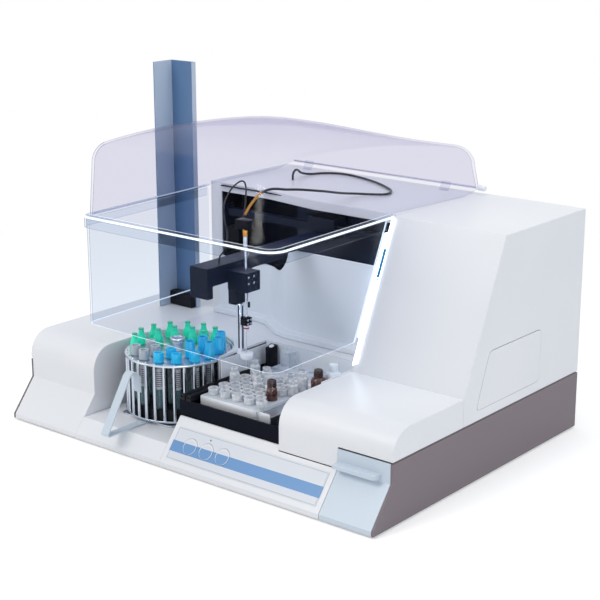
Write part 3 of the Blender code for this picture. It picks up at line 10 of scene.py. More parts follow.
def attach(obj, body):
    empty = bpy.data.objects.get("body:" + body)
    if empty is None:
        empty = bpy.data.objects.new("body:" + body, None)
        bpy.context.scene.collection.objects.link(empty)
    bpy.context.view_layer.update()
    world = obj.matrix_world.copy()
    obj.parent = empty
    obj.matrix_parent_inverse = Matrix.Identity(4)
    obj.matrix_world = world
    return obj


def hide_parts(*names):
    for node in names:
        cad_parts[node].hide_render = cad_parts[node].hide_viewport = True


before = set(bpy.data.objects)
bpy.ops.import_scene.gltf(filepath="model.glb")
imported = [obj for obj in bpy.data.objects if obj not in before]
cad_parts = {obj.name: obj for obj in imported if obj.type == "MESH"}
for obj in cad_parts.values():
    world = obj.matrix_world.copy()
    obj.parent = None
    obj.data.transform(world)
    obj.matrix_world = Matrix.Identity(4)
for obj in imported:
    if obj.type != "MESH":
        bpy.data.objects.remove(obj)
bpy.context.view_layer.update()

# The view: the photograph's camera, a plain pale floor and soft studio light.
# The camera's place, turn and lens were solved from corners of the instrument.
front_y = -0.25725
scene = bpy.context.scene
scene.view_settings.view_transform = "Standard"
camera_turn = Euler((math.radians(74.149), 0, math.radians(39.294))).to_matrix()
camera_roll = Matrix.Rotation(math.radians(-0.072), 3, "Z")
bpy.ops.object.camera_add(location=(1.41678, -1.69986, 0.83582),
                          rotation=(camera_turn @ camera_roll).to_euler())
scene.camera = bpy.context.object
scene.camera.data.lens = 88.64
scene.camera.data.sensor_width = 36


def tone(code):
    """An sRGB hex colour as the linear colour that shaders take."""
    parts = [int(code[i:i + 2], 16) / 255 for i in (0, 2, 4)]
    return [c / 12.92 if c <= 0.04045 else ((c + 0.055) / 1.055) ** 2.4 for c in parts] + [1]


def feed(made, node, sockets):
    """Sets a node's sockets to values, or links them where a node and its output are given."""
    for name, value in sockets.items():
        if isinstance(value, tuple) and isinstance(value[0], bpy.types.Node):
            made.node_tree.links.new(value[0].outputs[value[1]], node.inputs[name])
        else:
            node.inputs[name].default_value = value
    return node


def add(made, kind, sockets, **settings):
    """Adds a node to a material with its settings, values and links."""
    node = made.node_tree.nodes.new("ShaderNode" + kind)
    for name, value in settings.items():
        setattr(node, name, value)
    return feed(made, node, sockets)


def dress(made, sockets):
    """Sets or links sockets of a material's shader, and returns the material."""
    feed(made, made.node_tree.nodes["Principled BSDF"], sockets)
    return made


def material(name):
    """A new material with its shader."""
    made = bpy.data.materials.new(name)
    made.use_nodes = True
    return made


def plain(name, colour, roughness, more=None):
    """A new material of one colour and gloss, with any more sockets that it needs."""
    return dress(material(name), {"Base Color": tone(colour), "Roughness": roughness, **(more or {})})


# Each of the functions below that works out a value returns it as a node and its output.
def reckon(made, operation, first, second):
    """A sum on two values, each a number or a node and its output."""
    return add(made, "Math", {0: first, 1: second}, operation=operation), 0


def spread(made, driver, low, high, start=0.0, end=1.0):
    """A value that runs from low to high as its driver goes from start to end."""
    return add(made, "MapRange", {"Value": driver, "From Min": start, "From Max": end,
                                  "To Min": low, "To Max": high}), 0


def mixed(made, share, first, second):
    """One colour turning into another as a share rises, each a code or a node and its output."""
    first, second = [tone(shade) if isinstance(shade, str) else shade for shade in (first, second)]
    return add(made, "MixRGB", {"Fac": share, "Color1": first, "Color2": second}), 0


def ramp(made, driver, low, high, low_at=0.0, high_at=1.0):
    """A colour that runs from low to high as its driver rises."""
    node = add(made, "ValToRGB", {"Fac": driver})
    for element, code, at in zip(node.color_ramp.elements, (low, high), (low_at, high_at)):
        element.color = tone(code)
        element.position = at
    return node, "Color"


def coloured(made, driver, *shades):
    """Gives a material a colour ramp that its driver runs through."""
    dress(made, {"Base Color": ramp(made, driver, *shades)})


def noise(made, scale, detail):
    """A noise in the object's own space."""
    place = add(made, "TexCoord", {})
    return add(made, "TexNoise", {"Vector": (place, "Object"), "Scale": scale, "Detail": detail}), "Fac"


def grained(made, scale, detail, strength, distance):
    """Gives a material a fine relief, and returns the noise that drives it."""
    grain = noise(made, scale, detail)
    relief = add(made, "Bump", {"Height": grain, "Strength": strength, "Distance": distance})
    dress(made, {"Normal": (relief, "Normal")})
    return grain


def facing(made, blend):
    """How far a skin turns away from the eye."""
    return add(made, "LayerWeight", {"Blend": blend}), "Facing"


def axes(made, space="Object"):
    """A node with the parts along X, Y and Z of a place or direction in the object's own space."""
    place = add(made, "TexCoord", {})
    return add(made, "SeparateXYZ", {"Vector": (place, space)})


def seen_rays(made):
    """One for rays by which the camera sees, straight, mirrored or let through, nought for the rest."""
    rays = add(made, "LightPath", {})
    seen = reckon(made, "MAXIMUM", (rays, "Is Camera Ray"), (rays, "Is Glossy Ray"))
    return reckon(made, "MAXIMUM", seen, (rays, "Is Transmission Ray"))


# White paper sweep: where the camera sees it, it adds white, more with distance, while its own colour
# fades, so that it runs out evenly into the background and keeps the shadow near the instrument.
paper = material("studio_paper")
seen = seen_rays(paper)
away = add(paper, "TexCoord", {})
away = add(paper, "VectorMath", {0: (away, "Object")}, operation="LENGTH")
away = spread(paper, (away, "Value"), 0.0, 1.0, 0.45, 1.5)
away = reckon(paper, "MULTIPLY", seen, away)
lift = reckon(paper, "MULTIPLY", seen, spread(paper, away, 0.34, 1.0))
dress(paper, {"Base Color": mixed(paper, away, "F4F4F4", "000000"), "Roughness": 0.9,
              "Specular IOR Level": 0.0, "Emission Color": tone("FFFFFF"), "Emission Strength": lift})
bpy.ops.mesh.primitive_plane_add(size=40)
floor = bpy.context.object
floor.name = "floor"
floor.data.materials.append(paper)

world = bpy.data.worlds.new("studio_air")
scene.world = world
world.use_nodes = True
air_level = spread(world, seen_rays(world), 0.52, 1.0)
feed(world, world.node_tree.nodes["Background"], {"Color": tone("FAFCFF"), "Strength": air_level})


def area_lamp(name, place, aim, power, colour):
    """An area lamp turned to a height above the middle of the floor."""
    bpy.ops.object.light_add(type="AREA", location=place)
    lamp = bpy.context.object
    lamp.name = name
    lamp.data.energy = power
    lamp.data.color = tone(colour)[:3]
    lamp.rotation_euler = (Vector((0, 0, aim)) - Vector(place)).to_track_quat("-Z", "Y").to_euler()
    return lamp


for name, place, side, power, colour in (
        ("key_light", (-0.9, -2.2, 2.4), 1.6, 34, "FFFDFA"),
        ("top_light", (0.3, 0.4, 2.6), 1.8, 17, "FFFFFF"),
        ("right_light", (2.6, -0.2, 1.2), 1.4, 13, "EEF5FF")):
    area_lamp(name, place, 0.15, power, colour).data.size = side
# Two narrow upright tube lamps draw the thin highlights on bends, rods and the needle. They light
# nothing matt.
for name, place, power in (("strip_light", (1.45, -1.30, 0.30), 6),
                           ("strip_light_left", (-0.75, -1.25, 0.30), 1.5)):
    lamp = area_lamp(name, place, 0.30, power, "FFFFFF")
    lamp.data.shape = "RECTANGLE"
    lamp.data.size = 0.025
    lamp.data.size_y = 0.6
    lamp.visible_diffuse = False
    lamp.visible_camera = False

# Flexible lines: a black sheathed lead from the needle's mast to the rear housing, with the gold
# end of its coaxial wire showing, and a thin dark sampling tube from the clamp down to the arm.
lead_route = [(0.041, 0.114, 0.3742), (0.041, 0.130, 0.389), (0.041, 0.155, 0.401),
              (0.041, 0.213, 0.395), (0.041, 0.287, 0.381), (0.039, 0.345, 0.368),
              (0.038, 0.388, 0.360), (0.054, 0.404, 0.3585), (0.068, 0.420, 0.3580),
              (0.062, 0.443, 0.3578), (0.036, 0.466, 0.3578), (0.008, 0.483, 0.3578),
              (-0.020, 0.496, 0.3578), (-0.047, 0.505, 0.3578), (-0.075, 0.511, 0.3578),
              (-0.098, 0.509, 0.3578), (-0.119, 0.495, 0.3578), (-0.131, 0.475, 0.3580),
              (-0.133, 0.455, 0.3630), (-0.130, 0.441, 0.3700), (-0.127, 0.431, 0.3710),
              (-0.126, 0.425, 0.3660), (-0.126, 0.424, 0.3562)]
tube_route = [(0.034, 0.11825, 0.3682), (0.035, 0.121, 0.382), (0.035, 0.123, 0.398),
              (0.037, 0.121, 0.413), (0.040, 0.112, 0.423), (0.041, 0.097, 0.422),
              (0.041, 0.080, 0.411), (0.040, 0.070, 0.392), (0.039, 0.074, 0.370),
              (0.036, 0.081, 0.352), (0.029, 0.087, 0.334), (0.019, 0.091, 0.320),
              (0.010, 0.093, 0.311), (0.008, 0.093, 0.3003)]
sheath = dress(material("pvc_sheath"), {"Roughness": 0.32})
gold_end = spread(sheath, (axes(sheath), "Y"), 1.0, 0.0, front_y + 0.149, front_y + 0.151)
coloured(sheath, gold_end, "1D1C24", "C98B2E")
tube_black = plain("ptfe_tube_black", "17161C", 0.28)
for name, route, radius, length, made, node, body in (
        ("sheathed_lead", lead_route, 0.0019, 0.651, sheath, "cable_loop", "base"),
        ("sampling_tube", tube_route, 0.0012, 0.222, tube_black, "sample_tube", "arm")):
    line = bpy.data.curves.new(name, "CURVE")
    line.dimensions = "3D"
    line.bevel_depth = radius
    line.bevel_resolution = 5
    line.resolution_u = 8
    run = line.splines.new("BEZIER")
    run.bezier_points.add(len(route) - 1)
    for point, (x, depth, z) in zip(run.bezier_points, route):
        point.co = (x, front_y + depth, z)
        point.handle_left_type = "AUTO"
        point.handle_right_type = "AUTO"
    piece = bpy.data.objects.new(name, line)
    scene.collection.objects.link(piece)
    piece.data.materials.append(made)
    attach(piece, body)
    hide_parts(node)

# White covers: sheet-metal and moulded housings with a satin powder coat, whose fine orange peel
# breaks up the light a little. Their edges are rounded as a press or a mould rounds them.
coat = dress(material("powder_coat_white"), {"Roughness": 0.34, "Specular IOR Level": 0.45})
grained(coat, 900.0, 2.0, 0.12, 0.0002)
coloured(coat, noise(coat, 6.0, 1.0), "E3E6EB", "EDEEF1")


def select_only(item):
    """Selects one object and makes it the active one."""
    bpy.ops.object.select_all(action="DESELECT")
    item.select_set(True)
    bpy.context.view_layer.objects.active = item


def rounded(piece, width, segments, sharp=30):
    """Rounds the edges of the active piece that turn by more than an angle in degrees."""
    rounding = piece.modifiers.new("rounded", "BEVEL")
    rounding.width = width
    rounding.segments = segments
    rounding.limit_method = "ANGLE"
    rounding.angle_limit = math.radians(sharp)
    bpy.ops.object.modifier_apply(modifier="rounded")


def moulding(node, body, made, edge, smooth=35):
    """The finished skin of a CAD node: its shape joined up, its edges rounded and shaded smooth."""
    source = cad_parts[node]
    skin = bpy.data.objects.new(node + "_skin", source.data.copy())
    scene.collection.objects.link(skin)
    skin.data.materials.clear()
    skin.data.materials.append(made)
    select_only(skin)
    bpy.ops.object.mode_set(mode="EDIT")
    bpy.ops.mesh.select_all(action="SELECT")
    bpy.ops.mesh.remove_doubles(threshold=0.00002)
    bpy.ops.mesh.dissolve_limited(angle_limit=math.radians(1.5))
    bpy.ops.mesh.customdata_custom_splitnormals_clear()
    bpy.ops.object.mode_set(mode="OBJECT")
    if edge:
        rounded(skin, edge, 3, 40)
    bpy.ops.object.shade_smooth_by_angle(angle=math.radians(smooth))
    weights = skin.modifiers.new("flat_faces_lead", "WEIGHTED_NORMAL")
    weights.keep_sharp = True
    bpy.ops.object.modifier_apply(modifier="flat_faces_lead")
    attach(skin, body)
    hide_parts(node)
    return skin


for node, edge in (("left_fairing", 0.0012), ("right_front_cover", 0.0012), ("tall_housing", 0.0016),
                   ("rear_housing", 0.0012), ("deck_plate", 0.0008), ("front_console", 0.0008),
                   ("rotor_bay", 0.0005)):
    moulding(node, "base", coat, edge)
moulding("hatch_panel", "hatch", coat, 0.0005)

# Back wall of the work space: one moulded sheet of white styrene, a little cooler than the covers.
styrene = plain("styrene_moulding", "F0F4F9", 0.26)
grained(styrene, 700.0, 2.0, 0.08, 0.0002)
moulding("rear_wall", "base", styrene, 0.0015)

# Side and rear panels: steel sheet with a taupe textured coat, whose grit catches small glints.
taupe = dress(material("textured_coat_taupe"), {"Roughness": 0.5})
coloured(taupe, grained(taupe, 1400.0, 3.0, 0.35, 0.0003), "6A6065", "847A80", 0.3, 0.7)
for node in ("side_panel_right", "side_panel_left", "rear_panel"):
    moulding(node, "base", taupe, 0.0004)

# Drawer front and pull strip: aluminium with a pale blue satin coat.
blue_coat = dress(material("satin_coat_pale_blue"), {"Roughness": 0.33})
coloured(blue_coat, grained(blue_coat, 1100.0, 2.0, 0.1, 0.0002), "C6D3E0", "CFDBE6")
moulding("drawer_front", "drawer", blue_coat, 0.0007)
moulding("pull_handle", "tray", blue_coat, 0.0003)

# Hood: a lid blown from lilac-clear acrylic with a rim folded down round its front and sides, and
# the skirt of bent acrylic sheet that hangs inside the rim. Their polished edges get a painted glow for the
# light they pipe.
def clear_sheet(name, face, rim, glint, gloss):
    """Clear plastic: what is behind shows through its tint, under the gloss of its polished face."""
    made = plain(name, "FFFFFF", 0.03, {"Metallic": 1.0})
    nodes = made.node_tree.nodes
    aside = facing(made, 0.5)
    through = add(made, "BsdfTransparent", {"Color": ramp(made, aside, face, rim, 0.60)})
    mirror = spread(made, reckon(made, "POWER", aside, 5.0), glint, gloss)
    both = add(made, "MixShader", {"Fac": mirror, 1: (through, 0), 2: (nodes["Principled BSDF"], 0)})
    feed(made, nodes["Material Output"], {"Surface": (both, 0)})
    return made


acrylic = clear_sheet("acrylic_clear_lilac", "F6F6FA", "E4E2EE", 0.0015, 0.30)
# Painted shade: a darker copy of the clear acrylic for the faces of the tight bends.
acrylic_bend_painted_shade = clear_sheet("acrylic_bend_painted_shade_lilac", "A39CB8", "6E6788", 0.004, 0.40)
sheet_clear = clear_sheet("acrylic_sheet_clear", "F6F8FB", "94A4C4", 0.0020, 0.45)
# Painted glow: the polished edges give off light of their own, for the light they pipe.
edge_glow_painted = plain("acrylic_edge_painted_glow", "F2F9FF", 0.08,
                   {"Alpha": 0.9, "Emission Color": tone("E4F3FF"), "Emission Strength": 0.5})
hood_left, hood_right = -0.2145, 0.152
hood_front, hood_back = front_y + 0.0445, front_y + 0.532
corner_left, corner_right, corner_rear, hood_wall, hood_base = 0.008, 0.018, 0.007, 0.003, 0.3555
rim_reach, rim_low, rim_back = 0.009, 0.3352, front_y + 0.316
skirt_low, skirt_high = 0.18, 0.348


def hood_plan(inset, turn_steps=10, side_steps=14):
    """The lid's outline from above at an inset, with its rear right part drawn out over the housing."""
    corners = []
    for x, y, turn_x, turn_y, start, corner in ((hood_left, hood_front, 1, 1, 180, corner_left),
                                                (hood_right, hood_front, -1, 1, 270, corner_right),
                                                (hood_right, hood_back, -1, -1, 0, corner_rear),
                                                (hood_left, hood_back, 1, -1, 90, corner_rear)):
        radius = max(corner - inset, 0.0045)
        corners.append((x + turn_x * (inset + radius), y + turn_y * (inset + radius), start, radius))
    points = []
    for i, (x, y, start, radius) in enumerate(corners):
        for k in range(turn_steps + 1):
            angle = math.radians(start + 90 * k / turn_steps)
            points.append(Vector((x + radius * math.cos(angle), y + radius * math.sin(angle))))
        after = corners[(i + 1) % 4]
        angle = math.radians(after[2])
        goal = Vector((after[0] + after[3] * math.cos(angle), after[1] + after[3] * math.sin(angle)))
        last = points[-1]
        points += [last.lerp(goal, k / side_steps) for k in (0.12, *range(1, side_steps), side_steps - 0.12)]
    drawn_from, drawn_by = 0.06, 0.022
    for point in points:
        if point.x > drawn_from and point.y > rim_back:
            share = (point.y - rim_back) / (hood_back - rim_back)
            point.x += drawn_by * share * (point.x - drawn_from) / (hood_right - drawn_from)
    return points


def crest(y):
    """Height of the lid's edge along its length: highest near the front, falling to the hinge."""
    highest, fall_behind, fall_ahead = 0.467, 0.038, 0.008
    share = (y - front_y - 0.150) / 0.382
    behind, ahead = max(share, 0) ** 1.8, min(max(-share / 0.28, 0), 1) ** 2
    return highest - fall_behind * behind - fall_ahead * ahead


def crown(y):
    """How far the middle of the lid stands above its edges: most in front, little at the hinge."""
    share = min(max((y - front_y - 0.260) / 0.250, 0), 1)
    return 0.026 * (1 - 0.88 * share * share * (3 - 2 * share))


def lid_rings(skin):
    """Rings of points from the foot of the lid's wall up over its shoulder to the top."""
    shoulder, rise = 0.020 - skin, 0.031 - skin
    rings = [[(p.x, p.y, hood_base - hood_wall) for p in hood_plan(skin)]]
    for step in range(11):
        angle = math.radians(9 * step)
        inset = 0.005 + skin + shoulder * (1 - math.cos(angle))
        rings.append([(p.x, p.y, crest(p.y) - skin - rise * (1 - math.sin(angle)))
                      for p in hood_plan(inset)])
    middle = Vector(((hood_left + hood_right) / 2, (hood_front + hood_back) / 2))
    edge = [Vector(p[:2]) for p in rings[-1]]
    for scale in (0.94, 0.86, 0.76, 0.64, 0.5, 0.36, 0.22, 0.08):
        ring = [middle + (p - middle) * scale for p in edge]
        rings.append([(p.x, p.y, crest(p.y) - skin + crown(p.y) * (1 - scale ** 2)) for p in ring])
    return rings


def loft(shape, rings, closed=True, cap=False):
    """Joins rings of points with quads and returns their vertices, ring by ring."""
    rows = [[shape.verts.new(p) for p in ring] for ring in rings]
    for low, high in zip(rows, rows[1:]):
        count = len(low)
        for k in range(count if closed else count - 1):
            n = (k + 1) % count
            shape.faces.new((low[k], low[n], high[n], high[k]))
    if cap:
        shape.faces.new(rows[-1])
    return rows


def dip(shape):
    """Lets the hood's open front hang a little, as the photographed one does: most at its right."""
    for vertex in shape.verts:
        x, y, z = vertex.co
        if z < hood_base + 0.0002:
            ahead = min(max((rim_back - y) / 0.28, 0), 1)
            aside = min(max((x - hood_left) / (hood_right - hood_left), 0), 1)
            hang = 0.0035 - 0.005 * aside
            vertex.co.z += hang * (hood_base - z) / (hood_base - skirt_low) - 0.004 * ahead


def piece_from(shape, name, body, slot, nodes, *finishes, smooth=30):
    """Makes a finished piece of a shape, with its normals outwards and its finishes on it."""
    bmesh.ops.recalc_face_normals(shape, faces=shape.faces)
    mesh = bpy.data.meshes.new(name)
    shape.to_mesh(mesh)
    shape.free()
    made = bpy.data.objects.new(name, mesh)
    scene.collection.objects.link(made)
    for finish in finishes:
        mesh.materials.append(finish)
    select_only(made)
    bpy.ops.object.shade_smooth_by_angle(angle=math.radians(smooth))
    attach(made, body)
    if nodes:
        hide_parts(*nodes)
    return made


lid = bmesh.new()
outer = loft(lid, lid_rings(0), cap=True)
inner = loft(lid, lid_rings(hood_wall), cap=True)
for k in range(len(outer[0])):
    n = (k + 1) % len(outer[0])
    lid.faces.new((outer[0][k], outer[0][n], inner[0][n], inner[0][k]))
# The tight bends get a darker tint, painted shade for how a bend seen along its skin looks darker, as at the
# two corners that stand against the paper.
tight_bends = (4, 5, 6, 7, 53, 54, 55, 56)
for rows in (outer, inner):
    for low, high in zip(rows[:9], rows[1:]):
        for k in tight_bends:
            lid.faces.get((low[k], low[k + 1], high[k + 1], high[k])).material_index = 1
# The seat behind the rim stands on the housing, so the wall's foot is trimmed to its height.
for seat_z, seat_front in ((0.362, front_y + 0.503), (hood_base, rim_back)):
    for vertex in lid.verts:
        if vertex.co.y > seat_front and vertex.co.z < seat_z:
            vertex.co.z = seat_z
dip(lid)
piece_from(lid, "lid_shell", "hood", "clear_hood", ["hood_lid"], acrylic, acrylic_bend_painted_shade, smooth=50)


def rim_plan(inset, steps=12):
    """The path round the hood's front at an inset from the rim's outside, right end to left end."""
    right, left = hood_right + rim_reach - inset, hood_left - rim_reach + inset
    front = hood_front - rim_reach + inset
    radius = corner_right + rim_reach - inset
    path = [Vector((right, rim_back)), Vector((right, (rim_back + front + radius) / 2)),
            Vector((right, front + radius + 0.002))]
    path += [Vector((right - radius + radius * math.cos(a), front + radius + radius * math.sin(a)))
             for a in (math.radians(360 - 90 * k / steps) for k in range(steps + 1))]
    path += [Vector((right - radius - 0.002, front)), Vector((left + corner_left + rim_reach + 0.002, front))]
    radius = corner_left + rim_reach - inset
    path += [Vector((left + radius + radius * math.cos(a), front + radius + radius * math.sin(a)))
             for a in (math.radians(270 - 90 * k / steps) for k in range(steps + 1))]
    return path + [Vector((left, front + radius + 0.002)), Vector((left, (rim_back + front + radius) / 2)),
                   Vector((left, rim_back))]


def swept(shape, section, painted_glow_strips):
    """Sweeps a section of (inset, height) points round the rim's path; the strips named get the painted glow.
    """
    paths = [[(p.x, p.y, z) for p in rim_plan(inset)] for inset, z in section]
    rows = loft(shape, paths + [paths[0]], closed=False)
    shape.faces.ensure_lookup_table()
    for k, face in enumerate(shape.faces):
        face.material_index = int(k // (len(paths[0]) - 1) in painted_glow_strips)
    shape.faces.new([row[0] for row in rows[:-1]])
    shape.faces.new([row[-1] for row in rows[:-1]])
    bmesh.ops.remove_doubles(shape, verts=shape.verts, dist=0.00001)


rim = bmesh.new()
swept(rim, [(0, rim_low + 0.0006), (0.0006, rim_low), (hood_wall, rim_low), (hood_wall, hood_base - 0.0055),
            (0.0045, hood_base - hood_wall), (rim_reach, hood_base - hood_wall), (rim_reach, hood_base),
            (rim_reach - 0.0012, hood_base - 0.0001), (0.0034, hood_base - 0.0008),
            (0.0016, hood_base - 0.0016), (0.0005, hood_base - 0.0028), (0, hood_base - 0.0045)], (6, 9, 10))
dip(rim)
piece_from(rim, "lid_rim", "hood", "clear_hood", [], sheet_clear, edge_glow_painted)

skirt = bmesh.new()
skirt_out = hood_wall + 0.0005
skirt_in = skirt_out + hood_wall
swept(skirt, [(skirt_out, skirt_low + 0.0008), (skirt_out + 0.0008, skirt_low),
              (skirt_in - 0.0006, skirt_low), (skirt_in, skirt_low + 0.0006), (skirt_in, skirt_high),
              (skirt_out, skirt_high)], (0, 1))
dip(skirt)
# On the right the skirt ends along the sloping housing, and that cut edge gets the painted glow too.
slope_depth, slope_z, slope_back, slope_rise = 0.2108, 0.1375, 0.0982, 0.2177
slope_run = slope_back / slope_rise
cut_place = Vector((0, front_y + slope_depth - 0.004, slope_z))
cut_facing = Vector((0, 1, -slope_run)).normalized()
right_part = [f for f in skirt.faces if f.calc_center_median().x > 0.1]
edges = {e for f in right_part for e in f.edges}
cut = bmesh.ops.bisect_plane(skirt, geom=list({v for f in right_part for v in f.verts}) + list(edges)
                             + right_part, plane_co=cut_place, plane_no=cut_facing, clear_outer=True)
rim_edges = [e for e in cut["geom_cut"] if isinstance(e, bmesh.types.BMEdge)]
for face in bmesh.ops.contextual_create(skirt, geom=rim_edges)["faces"]:
    face.material_index = 1
piece_from(skirt, "skirt_sheet", "hood", "clear_hood", ["hood_skirt"], sheet_clear, edge_glow_painted)

# Light bar: a lit polycarbonate diffuser on the left margin of the sloping face, with narrow lit
# margins beside it, a rounded blue window in it and a small dark sensor dot under the window.
diffuser = plain("polycarbonate_diffuser_lit", "F3FAFF", 0.3,
                 {"Emission Color": tone("E6F5FF"), "Emission Strength": 2.4})
moulding("led_bar", "base", diffuser, 0.0008)
window_blue = plain("pmma_window_blue", "2389BC", 0.12)
dot_dark = plain("sensor_dot_dark", "20242A", 0.2)


def leaning(back, rise):
    """The ways up and out of a sloping face, and the turn that lays a piece on it."""
    up = Vector((0, back, rise)).normalized()
    out = Vector((0, -up.z, up.y))
    return up, out, Matrix((Vector((1, 0, 0)), up, out)).transposed().to_euler()


def prism(shape, low_ring, high_ring):
    """A solid between two rings of points, closed at both ends."""
    low, high = loft(shape, [low_ring, high_ring])
    shape.faces.new(low[::-1])
    shape.faces.new(high)


def settle(name, body, finish):
    """Gives the active new piece its name, body and finish, with its place in its mesh."""
    made = bpy.context.object
    made.name = name
    made.data.name = name
    made.data.materials.clear()
    made.data.materials.append(finish)
    select_only(made)
    bpy.ops.object.transform_apply(location=True, rotation=True, scale=True)
    bpy.ops.object.shade_smooth_by_angle(angle=math.radians(35))
    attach(made, body)
    return made


bar_x, flank_right, flank_root = 0.1662, 0.1632, 0.0045
slope_up, slope_out, slope_turn = leaning(slope_back, slope_rise)
for name, left, low_z, high_z, front in (("light_bar_flank", 0.1579, 0.1850, 0.3310, -0.0034),
                                         ("light_bar_flank_foot", 0.1599, 0.1450, 0.1848, 0.0006),
                                         ("light_bar_flank_top", 0.1613, 0.3312, 0.3545, 0.0006)):
    section = ((left, front), (flank_right, front), (flank_right, flank_root), (left, flank_root))
    flank = bmesh.new()
    prism(flank, *[[(x, front_y + slope_depth + (z - slope_z) * slope_run + back, z) for x, back in section]
                   for z in (low_z, high_z)])
    piece_from(flank, name, "base", "light_diffuser", [], diffuser)
for name, along, size, finish in (("light_bar_window", 0.166, (0.0046, 0.044), window_blue),
                                  ("light_bar_dot", 0.141, (0.0026, 0.0026), dot_dark)):
    spot = Vector((bar_x, front_y + slope_depth, slope_z)) + slope_up * along + slope_out * 0.0026
    bpy.ops.mesh.primitive_cube_add(size=1, location=spot, rotation=slope_turn)
    bpy.context.object.scale = (*size, 0.0008)
    bpy.ops.object.transform_apply(location=False, rotation=False, scale=True)
    bpy.ops.object.mode_set(mode="EDIT")
    shape = bmesh.from_edit_mesh(bpy.context.object.data)
    for edge in shape.edges:
        edge.select = abs(edge.verts[0].co.z - edge.verts[1].co.z) > 0.0005
    bmesh.update_edit_mesh(bpy.context.object.data)
    bpy.ops.mesh.bevel(offset=min(size) * 0.49, segments=8)
    bpy.ops.object.mode_set(mode="OBJECT")
    settle(name, "base", finish)

# Console film: printed polyester, pale grey with a thin outline and a blue band, over three keys
# whose white rings are printed on them. The printed names are left off, so the band stays bare.
film = dress(material("printed_polyester_film"), {"Roughness": 0.3})
film_place = axes(film)
nose_foot, nose_back, nose_rise = 0.0105, 0.042, 0.053
nose = math.hypot(nose_back, nose_rise)
key_places = (0.0107, 0.0424, 0.0741)


def between(made, value, low, high):
    """One where a value lies between two limits, and nought elsewhere."""
    above = reckon(made, "GREATER_THAN", value, low)
    return reckon(made, "MULTIPLY", above, reckon(made, "LESS_THAN", value, high))


def height_on_nose(along):
    """Height above the table of a place along the console's sloping face."""
    return nose_foot + nose_rise * along / nose


def on_nose(low, high):
    """One between two places along the console's sloping face, and nought elsewhere."""
    return between(film, (film_place, "Z"), height_on_nose(low), height_on_nose(high))


def patch(inset, low, high):
    """One in a patch of the film, at an inset from its ends and between two places up the slope."""
    in_x = between(film, (film_place, "X"), -0.024 + inset, 0.2585 - inset)
    return reckon(film, "MULTIPLY", in_x, on_nose(low, high))


rings = 0.0
for key_x in key_places:
    across = reckon(film, "SUBTRACT", (film_place, "X"), key_x)
    along = reckon(film, "SUBTRACT", (film_place, "Z"), height_on_nose(0.0345))
    along = reckon(film, "MULTIPLY", along, nose / nose_rise)
    reach = reckon(film, "ADD", reckon(film, "POWER", across, 2.0), reckon(film, "POWER", along, 2.0))
    rings = reckon(film, "MAXIMUM", rings, between(film, reach, 0.0113 ** 2, 0.0122 ** 2))
line = reckon(film, "SUBTRACT", patch(0.0016, 0.0105, 0.0585), patch(0.0021, 0.0111, 0.0579))
shade = mixed(film, line, "D9DEE6", "9CA2AC")
shade = mixed(film, on_nose(0.0215, 0.0385), shade, "6495C9")
dress(film, {"Base Color": mixed(film, rings, shade, "F1F5FA")})
moulding("keypad_film", "base", film, 0)
for side in ("left", "middle", "right"):
    moulding("key_" + side, side + "_key", film, 0.0003, smooth=30)

# Status lamp: a small green light pipe that shows through the film above the middle key.
pipe_green = plain("light_pipe_green", "1F5A2C", 0.2,
                   {"Emission Color": tone("2C8A3A"), "Emission Strength": 0.15})
nose_up, nose_out, nose_turn = leaning(nose_back, nose_rise)
lamp_spot = Vector((key_places[1], front_y, nose_foot)) + nose_up * 0.0525 + nose_out * 0.0009
bpy.ops.mesh.primitive_uv_sphere_add(segments=20, ring_count=10, radius=0.0013, location=lamp_spot,
                                     rotation=nose_turn)
bpy.context.object.scale = (1, 1, 0.35)
settle("status_lamp", "base", pipe_green)

# Sample rotor: thirty-two polished steel rods between a thin perforated plate and a foot ring,
# round a black core. Twenty-four blood tubes stand in it, with green, blue and grey closures.
def brushed(name, colour, scale, detail, low, high):
    """A metal with fine marks drawn out along it, whose gloss varies between two limits."""
    made = plain(name, colour, low, {"Metallic": 1.0})
    place = add(made, "TexCoord", {})
    stretch = add(made, "Mapping", {"Vector": (place, "Object"), "Scale": scale})
    marks = add(made, "TexNoise", {"Vector": (stretch, 0), "Scale": 1.0, "Detail": detail})
    return dress(made, {"Roughness": spread(made, (marks, "Fac"), low, high)})


steel = brushed("stainless_steel_polished", "C2C9D4", (600.0, 600.0, 40.0), 2.0, 0.16, 0.3)
aluminium = brushed("aluminium_satin", "CDD4DC", (30.0, 900.0, 900.0), 3.0, 0.25, 0.42)
black_nylon = plain("nylon_black", "0E1018", 0.42, {"Specular IOR Level": 0.2})
grained(black_nylon, 900.0, 2.0, 0.2, 0.0002)
rotor = Vector((-0.126, front_y + 0.141))
rotor_spot = (rotor.x, rotor.y, 0)
outer_ring, inner_ring, plate_top = 0.0675, 0.0425, 0.130


def turned(profile, steps=24):
    """A mesh turned on the Z axis from (radius, height) points, as on a lathe."""
    mesh = bpy.data.meshes.new("turned")
    mesh.from_pydata([(r, 0, z) for r, z in profile],
                     [(k, k + 1) for k in range(len(profile) - 1)], [])
    blank = bpy.data.objects.new("turned", mesh)
    scene.collection.objects.link(blank)
    select_only(blank)
    bpy.ops.object.mode_set(mode="EDIT")
    bpy.ops.mesh.select_all(action="SELECT")
    bpy.ops.mesh.spin(steps=steps, angle=2 * math.pi, center=(0, 0, 0), axis=(0, 0, 1))
    bpy.ops.mesh.select_all(action="SELECT")
    bpy.ops.mesh.remove_doubles(threshold=0.000005)
    bpy.ops.mesh.normals_make_consistent(inside=False)
    bpy.ops.object.mode_set(mode="OBJECT")
    bpy.data.objects.remove(blank)
    return mesh


